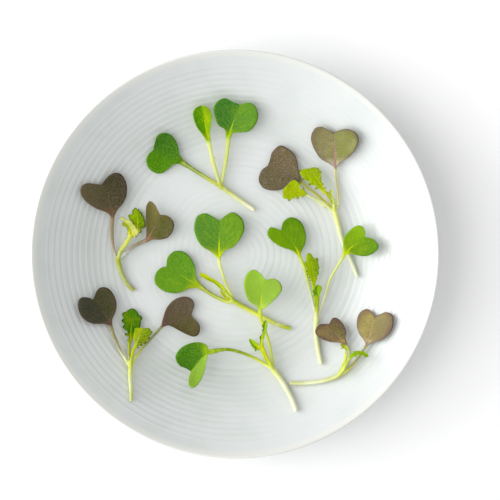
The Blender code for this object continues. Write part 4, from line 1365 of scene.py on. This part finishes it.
# Purple seedling at the front left
FRONT_LEFT = Seedling(
    "seedling4",
    Stem(PALE_STEM.toned((193, 202, 118), (225, 233, 161), (217, 228, 84)), radius=0.80),
    root=[(-38.0, -54.0, 1.3), (-38.1, -49.9, 1.3), (-38.4, -45.5, 1.3)],
    crown=(-38.3, -41.6, 1.6))
FRONT_LEFT.grow(
    "seed_leaf_left", PURPLE_LEAF.toned(
        (58, 63, 42), (68, 71, 34), (114, 96, 65), (100, 78, 72), (136, 152, 18), (239, 239, 185),
        grain=0.15, margin_share=0.2),
    stalk=[(-40.2, -38.5, 1.6), (-43.1, -33.2, 1.6), (-45.7, -26.0, 1.8)],
    vein=[(-48.0, -22.0, 1.4), (-52.1, -16.6, 1.3)],
    left=[(-48.4, -25.6), (-51.7, -25.6), (-54.5, -24.6), (-56.7, -22.4), (-57.7, -19.3),
        (-57.0, -16.4), (-54.8, -15.8)],
    right=[(-45.0, -23.8), (-43.9, -21.3), (-43.5, -18.2), (-44.7, -14.7), (-46.8, -12.5),
        (-49.0, -12.2), (-50.7, -13.4)],
    reed=0.50, flare=0.3, joint=4.8, lift=(0.7, 0.7))
FRONT_LEFT.grow(
    "seed_leaf_right", PURPLE_LEAF.toned(
        (90, 80, 55), (78, 76, 22), (101, 68, 44), (95, 72, 68), (92, 151, 1), (239, 239, 95),
        grain=0.2, margin_share=0.2),
    stalk=[(-37.0, -38.7, 1.6), (-34.5, -35.1, 1.6), (-30.6, -30.7, 1.6), (-26.7, -26.4, 1.7)],
    vein=[(-23.1, -24.8, 1.4), (-19.8, -23.8, 1.3), (-16.1, -22.6, 1.4)],
    left=[(-26.5, -23.5), (-25.2, -19.9), (-22.7, -17.0), (-19.1, -15.6), (-16.0, -16.5),
        (-15.0, -18.9), (-15.8, -21.3)],
    right=[(-24.2, -26.2), (-20.9, -27.9), (-17.6, -29.6), (-14.9, -30.3), (-13.2, -29.0),
        (-13.1, -26.0), (-14.9, -23.9)],
    reed=0.44, flare=0.2, joint=5.1, lift=(1.5, 1.6))
FRONT_LEFT.grow(
    "true_leaf_back", YOUNG_LEAF.toned(
        (70, 129, 1), (42, 108, 1), (239, 239, 1), (154, 177, 1), (187, 194, 39), (166, 171, 75),
        rim=(52, 58, 22), rim_width=0.55, rim_share=0.75, tip=(40, 30, 20), veins=0.03, grain=0.15),
    stalk=[(-38.7, -38.5, 2.4), (-38.8, -35.2, 2.4), (-38.7, -32.3, 2.0)],
    vein=[(-38.1, -26.0, 1.5), (-37.79, -19.92, 1.3)],
    left=[(-39.32, -31.98), (-39.64, -31.58), (-39.11, -31.13), (-39.11, -30.35),
        (-39.73, -30.07), (-40.54, -29.54), (-40.3, -29.09), (-39.62, -29.09), (-39.52, -28.38),
        (-40.24, -27.91), (-40.99, -27.26), (-41.4, -26.57), (-40.95, -26.14), (-40.7, -25.53),
        (-41.19, -25.22), (-41.68, -24.51), (-41.4, -24), (-40.99, -23.39), (-41.29, -22.67),
        (-41.4, -21.86), (-40.85, -21.31), (-40.13, -21.19), (-39.52, -20.8), (-38.81, -20.23)],
    right=[(-37.44, -30.52), (-36.67, -29.09), (-35.65, -27.67), (-34.84, -26.85),
        (-34.73, -25.83), (-34.67, -24.81), (-34.27, -24), (-34.27, -23.08), (-34.84, -22.57),
        (-35.35, -22.31), (-35.75, -21.55), (-36.16, -20.94), (-36.67, -20.37)],
    joint=4.4, lift=(0.5, 0.5), reed=0.50, rows=96, ruffle=0.25)
FRONT_LEFT.grow(
    "true_leaf_front", YOUNG_LEAF.toned(
        (183, 203, 4), (119, 147, 1), (186, 214, 1), (222, 232, 110), (201, 211, 1),
        (190, 200, 75), tip=(70, 70, 15), veins=0.45, rib_width=0.2),
    stalk=[(-38.1, -39.1, 3.6), (-37.4, -35.6, 4.7), (-36.3, -33.4, 4.8)],
    vein=[(-35.4, -30.6, 4.6), (-33.7, -27.05, 4.2)],
    left=[(-36.96, -32.35), (-37.28, -31.23), (-37.28, -30.11), (-37.02, -28.89),
        (-36.83, -27.87), (-36.67, -27.2), (-35.86, -27.01), (-34.84, -27.01)],
    right=[(-36.22, -34.29), (-35.28, -34.39), (-35.53, -33.74), (-34.33, -33.7),
        (-33.98, -33.17), (-34.33, -32.72), (-33.21, -33), (-32.55, -32.45), (-32.8, -31.9),
        (-31.58, -31.39), (-31.21, -30.72), (-31.58, -30.21), (-30.76, -29.54), (-30.31, -28.58),
        (-30.93, -28.07), (-31.33, -27.36), (-32.19, -27.1), (-32.9, -27.22)],
    joint=4.4, lift=(0.6, -0.5), reed=0.50, rows=96, ruffle=0.3, nubs=((-0.63, 1, 0.35),))

# Green seedling in the middle
MIDDLE = Seedling(
    "seedling5",
    Stem(PALE_STEM.toned((175, 186, 36), (224, 229, 91), (182, 196, 47)), radius=0.84),
    root=[(20.6, -27.5, 1.3), (14.3, -25.3, 1.3), (8.3, -22.2, 1.3), (3.7, -19.8, 1.3)],
    crown=(0.2, -17.7, 1.6))
MIDDLE.grow(
    "seed_leaf_back", GREEN_LEAF.toned(
        (85, 139, 44), (97, 142, 27), (209, 228, 9), (201, 215, 1), (220, 227, 143),
        (239, 239, 127)),
    stalk=[(-1.5, -15.0, 1.7), (-3.9, -9.4, 1.9), (-5.5, -4.4, 2.2), (-6.0, -1.3, 2.3)],
    vein=[(-5.9, 5.1, 2.0), (-5.7, 12.3, 1.9)],
    left=[(-8.6, 0.6), (-11.9, 2.6), (-14.0, 5.4), (-15.1, 9.4), (-14.1, 13.6), (-11.2, 15.0),
        (-8.4, 13.9)],
    right=[(-3.7, 1.2), (-0.7, 2.7), (1.8, 5.5), (3.4, 9.2), (2.5, 13.0), (-0.6, 15.3),
        (-3.2, 14.4)],
    joint=3.7, lift=(1.5, 1.5), reed=0.51)
MIDDLE.grow(
    "seed_leaf_left", GREEN_LEAF.toned(
        (94, 145, 24), (85, 139, 27), (174, 186, 1), (151, 172, 1), (146, 159, 1), (199, 212, 84)),
    stalk=[(-2.9, -17.5, 1.6), (-7.7, -15.4, 1.6), (-13.4, -11.7, 1.8)],
    vein=[(-17.2, -9.5, 1.5), (-20.9, -7.0, 1.3), (-25.3, -4.6, 1.3)],
    left=[(-16.5, -12.6), (-19.6, -13.9), (-22.9, -14.4), (-26.8, -13.3), (-29.4, -10.6),
        (-29.2, -7.2), (-27.3, -5.1)],
    right=[(-14.4, -8.4), (-14.7, -4.7), (-16.6, -1.1), (-19.4, 1.0), (-22.6, 0.9), (-24.8, -1.3)],
    reed=0.66, flare=0.5, joint=3.3, lift=(0.8, 0.8))
MIDDLE.grow(
    "true_leaf_folded", YOUNG_LEAF.toned(
        (177, 189, 2), (177, 189, 2), (163, 184, 8), (185, 205, 25), (196, 214, 50),
        (195, 210, 80), seam=0.1),
    stalk=[(-1.5, -16.0, 3.5), (-3.5, -13.9, 4.6)],
    vein=[(-5.9, -11.4, 4.3), (-9.4, -9.1, 3.6), (-13.32, -7.25, 2.8)],
    left=[(-4.67, -13.3), (-5.99, -12.39), (-7.72, -10.8), (-9.66, -9.94), (-11.39, -8.96),
        (-12.47, -8.41), (-13, -7.74)],
    right=[(-4.05, -12.22), (-4.77, -11.27), (-5.99, -10.31), (-7.62, -9.29), (-9.25, -8.47),
        (-10.68, -7.5), (-11.69, -7.03), (-12.71, -6.93)],
    joint=3.5, lift=(0.7, 0.9), reed=0.51, rows=72, ruffle=0.12)
MIDDLE.grow(
    "true_leaf_bud", YOUNG_LEAF.toned(
        (183, 189, 1), (183, 189, 1), (239, 213, 1), (197, 203, 1), (180, 184, 22), (195, 210, 80)),
    stalk=[(-1.3, -17.1, 2.1), (-2.3, -16.4, 2.3)],
    vein=[(-3.7, -15.0, 2.5), (-5.22, -12.88, 2.4)],
    left=[(-2.93, -16.83), (-4.05, -16.09), (-4.97, -15.08), (-5.48, -14.02), (-5.52, -13.24)],
    right=[(-2.42, -16.09), (-3.24, -15.38), (-4.05, -14.63), (-4.67, -13.81), (-4.91, -13.3)],
    joint=2.3, lift=(0.3, 0.3), reed=0.44, rows=64, ruffle=0.12)

# Green seedling at the front
FRONT = Seedling(
    "seedling6",
    Stem(PALE_STEM.toned((239, 239, 205), (215, 219, 177), (215, 222, 119)), radius=0.96),
    root=[(22.4, -57.6, 1.3), (20.4, -52.4, 1.3), (17.1, -46.6, 1.3)],
    crown=(14.1, -42.6, 1.6))
FRONT.grow(
    "seed_leaf_back", GREEN_LEAF.toned(
        (150, 192, 58), (135, 170, 56), (176, 206, 90), (189, 209, 30), (195, 209, 14),
        (209, 220, 116)),
    stalk=[(13.4, -37.8, 2.2), (12.2, -31.9, 3.2), (10.3, -26.2, 4.0), (9.2, -22.7, 5.0),
        (9.2, -20.2, 5.8)],
    vein=[(9.7, -15.4, 7.0), (11.1, -9.4, 8.4)],
    left=[(7.2, -18.8), (5.1, -17.4), (3.7, -14.3), (3.2, -10.8), (4.3, -7.2), (6.8, -5.7),
        (9.3, -7.1)],
    right=[(11.2, -19.8), (13.2, -17.9), (15.6, -15.6), (17.2, -13.0), (16.6, -10.6),
        (14.7, -9.1), (12.8, -9.1)],
    reed=0.58, flare=0.4, joint=4.4, lift=(1.8, 2.4))
FRONT.grow(
    "seed_leaf_left", GREEN_LEAF.toned(
        (62, 117, 15), (132, 170, 54), (164, 194, 3), (127, 156, 20), (118, 147, 1),
        (225, 236, 99), seam=0.08, blush_share=0.0),
    stalk=[(11.0, -40.4, 1.7), (7.0, -38.1, 3.3), (1.8, -36.0, 6.0), (-3.3, -35.0, 7.2),
        (-10.1, -36.0, 6.4)],
    vein=[(-13.2, -39.2, 5.4), (-16.3, -43.0, 4.2)],
    left=[(-10.1, -33.7), (-12.7, -32.4), (-16.1, -32.6), (-19.8, -34.4), (-21.9, -37.6),
        (-20.7, -40.7), (-18.2, -41.9)],
    right=[(-10.4, -38.5), (-11.1, -42.4), (-12.5, -46.2), (-14.7, -48.9), (-16.8, -48.5),
        (-17.1, -46.2), (-16.6, -44.2)],
    reed=0.56, flare=0.8, joint=3.7, lift=(1.6, 1.2))
FRONT.grow(
    "true_leaf_back", YOUNG_LEAF.toned(
        (92, 146, 6), (122, 170, 8), (172, 200, 14), (206, 212, 1), (194, 199, 1), (208, 216, 37),
        rim=(110, 145, 8), seam=0.15),
    stalk=[(12.8, -40.2, 4.4), (11.2, -36.7, 6.0), (9.7, -33.4, 6.2)],
    vein=[(9.9, -29.7, 6.2), (10.6, -27.1, 6.2), (11.2, -24.12, 6.4)],
    left=[(9, -32.76), (9.17, -31.64), (8.96, -30.56), (9.68, -29.5), (10.23, -28.72),
        (9.82, -27.91), (10.23, -27.3), (9.84, -26.65), (9.94, -25.87), (10.49, -25.42),
        (10.55, -24.71)],
    right=[(10.39, -32.76), (10.29, -31.64), (10.68, -30.76), (10.8, -29.91), (11.12, -28.68),
        (11.53, -27.67), (11.86, -26.65), (11.78, -25.63), (11.65, -24.71)],
    joint=4.8, lift=(0.5, 0.7), reed=0.50, rows=80, ruffle=0.2)
FRONT.grow(
    "true_leaf_left", YOUNG_LEAF.toned(
        (84, 142, 8), (146, 186, 20), (239, 239, 1), (197, 203, 1), (205, 216, 79), (151, 172, 1),
        veins=0.5, seam=0.25),
    stalk=[(12.1, -40.0, 3.0), (10.3, -36.9, 3.6), (9.2, -34.4, 3.6)],
    vein=[(7.2, -33.4, 3.4), (5.15, -31.13, 3)],
    left=[(8.76, -35.51), (7.95, -35.28), (7.78, -35.65), (7.25, -35.61), (7.17, -34.9),
        (6.72, -34.59), (6.01, -33.78), (5.5, -32.76), (5.09, -31.74)],
    right=[(8.86, -33.57), (8.35, -32.8), (7.74, -32.35), (6.93, -31.74), (6.11, -31.29),
        (5.54, -31.01)],
    joint=4.8, lift=(0.4, 0.6), reed=0.48, rows=72, ruffle=0.15)

# Green seedling at the right
RIGHT = Seedling(
    "seedling7",
    Stem(PALE_STEM.toned((228, 230, 183), (215, 221, 166), (223, 230, 148)), radius=0.90),
    root=[(31.4, -40.4, 1.3), (30.3, -34.8, 1.3), (29.7, -29.0, 1.3)],
    crown=(29.8, -23.3, 1.6))
RIGHT.grow(
    "seed_leaf_left", GREEN_LEAF.toned(
        (107, 150, 1), (85, 129, 1), (171, 202, 1), (196, 198, 1), (199, 210, 2), (217, 225, 201),
        rib_width=0.4, rib_reach=0.4, base_reach=0.15, grain=0.12),
    stalk=[(28.7, -18.7, 1.6), (27.1, -12.1, 1.5), (25.5, -5.5, 1.5), (23.4, -0.3, 2.0)],
    vein=[(22.0, 2.6, 2.3), (19.4, 5.3, 2.0), (16.8, 8.7, 1.9)],
    left=[(20.9, 1.2), (16.9, 2.6), (13.6, 4.7), (11.8, 7.2), (12.7, 9.7), (14.7, 9.5)],
    right=[(24.5, 1.5), (25.7, 3.9), (25.8, 7.7), (24.1, 11.8), (20.7, 13.5), (17.8, 12.0)],
    reed=0.48, flare=0.3, joint=4.0, lift=(0.7, 1.0))
RIGHT.grow(
    "seed_leaf_right", GREEN_LEAF.toned(
        (125, 166, 9), (85, 128, 1), (209, 221, 35), (189, 211, 1), (197, 206, 101),
        (239, 239, 202)),
    stalk=[(31.4, -19.8, 1.8), (33.0, -15.4, 2.1), (34.8, -9.4, 2.9), (38.0, -3.7, 4.2),
        (40.1, -0.1, 5.0)],
    vein=[(42.5, 2.4, 4.8), (45.1, 4.4, 4.4), (47.7, 6.3, 4.0)],
    left=[(39.6, 2.4), (39.8, 5.6), (41.5, 8.1), (44.0, 10.2), (46.5, 10.3), (47.7, 8.3)],
    right=[(42.4, 0.1), (45.3, -0.6), (48.4, -0.7), (51.3, 0.7), (52.7, 2.8), (51.2, 5.1),
        (49.3, 6.0)],
    reed=0.48, flare=0.4, joint=4.0, lift=(0.9, 0.4))
RIGHT.grow(
    "true_leaf_back", YOUNG_LEAF.toned(
        (149, 181, 1), (101, 133, 1), (194, 200, 1), (136, 162, 1), (169, 198, 1), (139, 154, 62),
        rib_reach=0.95),
    stalk=[(29.6, -19.1, 2.9), (29.3, -14.7, 3.5), (28.8, -11.2, 3.6)],
    vein=[(28.2, -5.9, 3.3), (27.07, 0.47, 2.9)],
    left=[(27.99, -10.84), (27.83, -10.02), (27.26, -9.74), (27.48, -9.21), (26.85, -8.64),
        (26.97, -7.99), (26.32, -7.42), (26.46, -6.76), (25.91, -6.4), (26.16, -5.54),
        (25.81, -4.73), (25.4, -3.91), (25.51, -3.1), (26.06, -2.69), (26.12, -1.67),
        (26.16, -0.65), (26.46, 0.16)],
    right=[(29.52, -11.04), (29.72, -10.02), (30.13, -9), (30.13, -7.99), (30.68, -7.37),
        (30.68, -6.56), (30.52, -5.95), (30.93, -5.13), (30.68, -4.12), (30.44, -3.3),
        (30.52, -2.28), (30.27, -1.55), (29.72, -1.43), (29.21, -2.02), (28.91, -1.47),
        (28.44, -0.86), (27.99, -0.14), (27.58, 0.31)],
    joint=4.0, lift=(0.5, 0.6), reed=0.51, rows=96, ruffle=0.25)
RIGHT.grow(
    "true_leaf_bud", YOUNG_LEAF.toned(
        (76, 132, 8), (118, 164, 10), (196, 212, 1), (96, 150, 8), (145, 168, 1), (194, 201, 57)),
    stalk=[(30.0, -20.2, 4.2), (30.3, -17.2, 5.2), (30.2, -15.4, 5.4)],
    vein=[(30.0, -13.6, 5.5), (30.27, -11.16, 5.6)],
    left=[(29.21, -15.83), (28.36, -15.48), (28.91, -14.91), (28.4, -14.3), (28.32, -13.49),
        (28.97, -12.98), (29.11, -12.37), (29.62, -11.71)],
    right=[(31.01, -15.12), (31.15, -14.51), (31.66, -13.38), (31.82, -12.37), (31.41, -11.65),
        (30.84, -11.25)],
    joint=3.7, lift=(0.4, 0.4), reed=0.51, rows=72, ruffle=0.3)

# Purple seedling at the front right
FRONT_RIGHT = Seedling(
    "seedling8",
    Stem(PALE_STEM.toned((198, 202, 129), (218, 222, 174), (194, 199, 89)), radius=0.76),
    root=[(20.2, -47.3, 1.35), (25.7, -47.3, 1.35), (31.5, -46.6, 1.35), (34.8, -45.8, 1.4)],
    crown=(37.8, -44.6, 1.6))
FRONT_RIGHT.grow(
    "seed_leaf_left", PURPLE_LEAF.toned(
        (118, 95, 70), (93, 83, 46), (239, 219, 85), (150, 116, 98), (139, 187, 1),
        (190, 190, 120), margin_share=0.85, rib_width=0.2, speck=(130, 140, 60), grain=0.4,
        rim=(84, 52, 58), rim_share=0.85, rim_width=0.35, margin=(98, 62, 66), grain_size=0.4),
    stalk=[(39.8, -42.5, 2.3), (41.6, -39.4, 3.0), (42.2, -36.3, 3.5), (40.6, -33.1, 3.6)],
    vein=[(38.5, -31.0, 3.5), (36.5, -28.6, 3.4), (34.4, -25.7, 3.4)],
    left=[(38.1, -32.5), (35.2, -32.3), (31.9, -31.2), (29.6, -29.3), (29.6, -27.4), (31.4, -25.8)],
    right=[(40.5, -30.8), (40.7, -28.4), (39.6, -25.7), (37.7, -23.7), (35.8, -23.5)],
    joint=6.2, lift=(0.3, 0.5), reed=0.44)
FRONT_RIGHT.grow(
    "seed_leaf_right", PURPLE_LEAF.toned(
        (163, 153, 80), (141, 133, 82), (239, 228, 168), (186, 152, 122), (115, 157, 7),
        (239, 239, 92), margin_share=0.6, rib_reach=1.05, rib_width=0.12, speck=(112, 84, 82),
        grain=0.65, rim=(112, 78, 80), rim_share=0.85, rim_width=0.35, grain_size=0.42,
        margin=(120, 88, 84)),
    stalk=[(40.0, -43.4, 1.5), (43.3, -40.4, 1.5), (46.2, -36.6, 1.6), (48.3, -33.3, 1.8)],
    vein=[(49.5, -29.7, 1.5), (50.3, -26.0, 1.4), (51.3, -23.0, 1.4)],
    left=[(47.2, -31.5), (45.5, -29.2), (44.6, -26.0), (45.3, -22.2), (47.5, -20.3), (49.7, -20.7)],
    right=[(50.4, -32.4), (53.2, -31.7), (56.0, -29.8), (57.9, -26.6), (57.9, -22.8),
        (55.7, -21.3), (53.2, -22.0)],
    reed=0.46, flare=0.2, joint=4.4, lift=(0.7, 0.5))
FRONT_RIGHT.grow(
    "true_leaf_left", YOUNG_LEAF.toned(
        (158, 178, 6), (142, 162, 6), (239, 239, 239), (193, 195, 6), (210, 215, 107),
        (195, 210, 80)),
    stalk=[(38.9, -42.4, 1.7), (40.1, -39.6, 1.6), (40.7, -36.5, 1.5)],
    vein=[(40.3, -34.7, 1.5), (39.16, -32.8, 1.4)],
    left=[(40.46, -35.61), (40.34, -34.92), (39.73, -34.65), (38.83, -34.73), (39.03, -34.31),
        (39.32, -34.06), (38.54, -33.7), (38.67, -33.27)],
    right=[(41.25, -35.81), (41.19, -35.04), (41.27, -34.49), (40.85, -34.08), (40.38, -33.57),
        (40.09, -33.06), (39.62, -32.82)],
    joint=4.4, lift=(0.2, 0.2), reed=0.55, rows=72, ruffle=0.2)
FRONT_RIGHT.grow(
    "true_leaf_right", YOUNG_LEAF.toned(
        (116, 148, 3), (128, 158, 4), (160, 186, 8), (130, 180, 10), (178, 183, 78),
        (195, 210, 80)),
    stalk=[(39.5, -42.6, 3.8), (40.7, -40.3, 5.2), (42.2, -38.0, 5.5)],
    vein=[(44.2, -36.5, 5.2), (46.6, -36.5, 4.6), (49.1, -37.48, 3.8)],
    left=[(42.58, -36.83), (43.29, -36.22), (43.49, -35.69), (44.41, -35.49), (45.63, -35.49),
        (46.86, -35.67), (47.87, -36.12), (48.69, -36.63)],
    right=[(43.23, -37.89), (43.64, -37.44), (44.11, -37.85), (44.82, -37.44), (45.23, -36.83),
        (46.24, -37.32), (47.26, -37.1), (47.3, -37.69), (48.08, -37.93)],
    joint=5.5, lift=(0.3, 0.3), reed=0.51, rows=72, ruffle=0.2)

SEEDLINGS = (BACK_LEFT, BACK_RIGHT, LEFT, FRONT_LEFT, MIDDLE, FRONT, RIGHT, FRONT_RIGHT)


def note_sizes() -> None:
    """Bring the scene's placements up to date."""
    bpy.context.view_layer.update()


def main() -> None:
    """Build the dish, the seedlings and the studio in order."""
    logging.basicConfig(level=logging.INFO, format="%(name)s: %(message)s")
    dish = Dish()
    dish.build(Glaze())
    for number, seedling in enumerate(SEEDLINGS):
        seedling.build(dish, 0.1 * (number + 1))
    Studio().build()
    note_sizes()


if __name__ == "__main__":
    main()
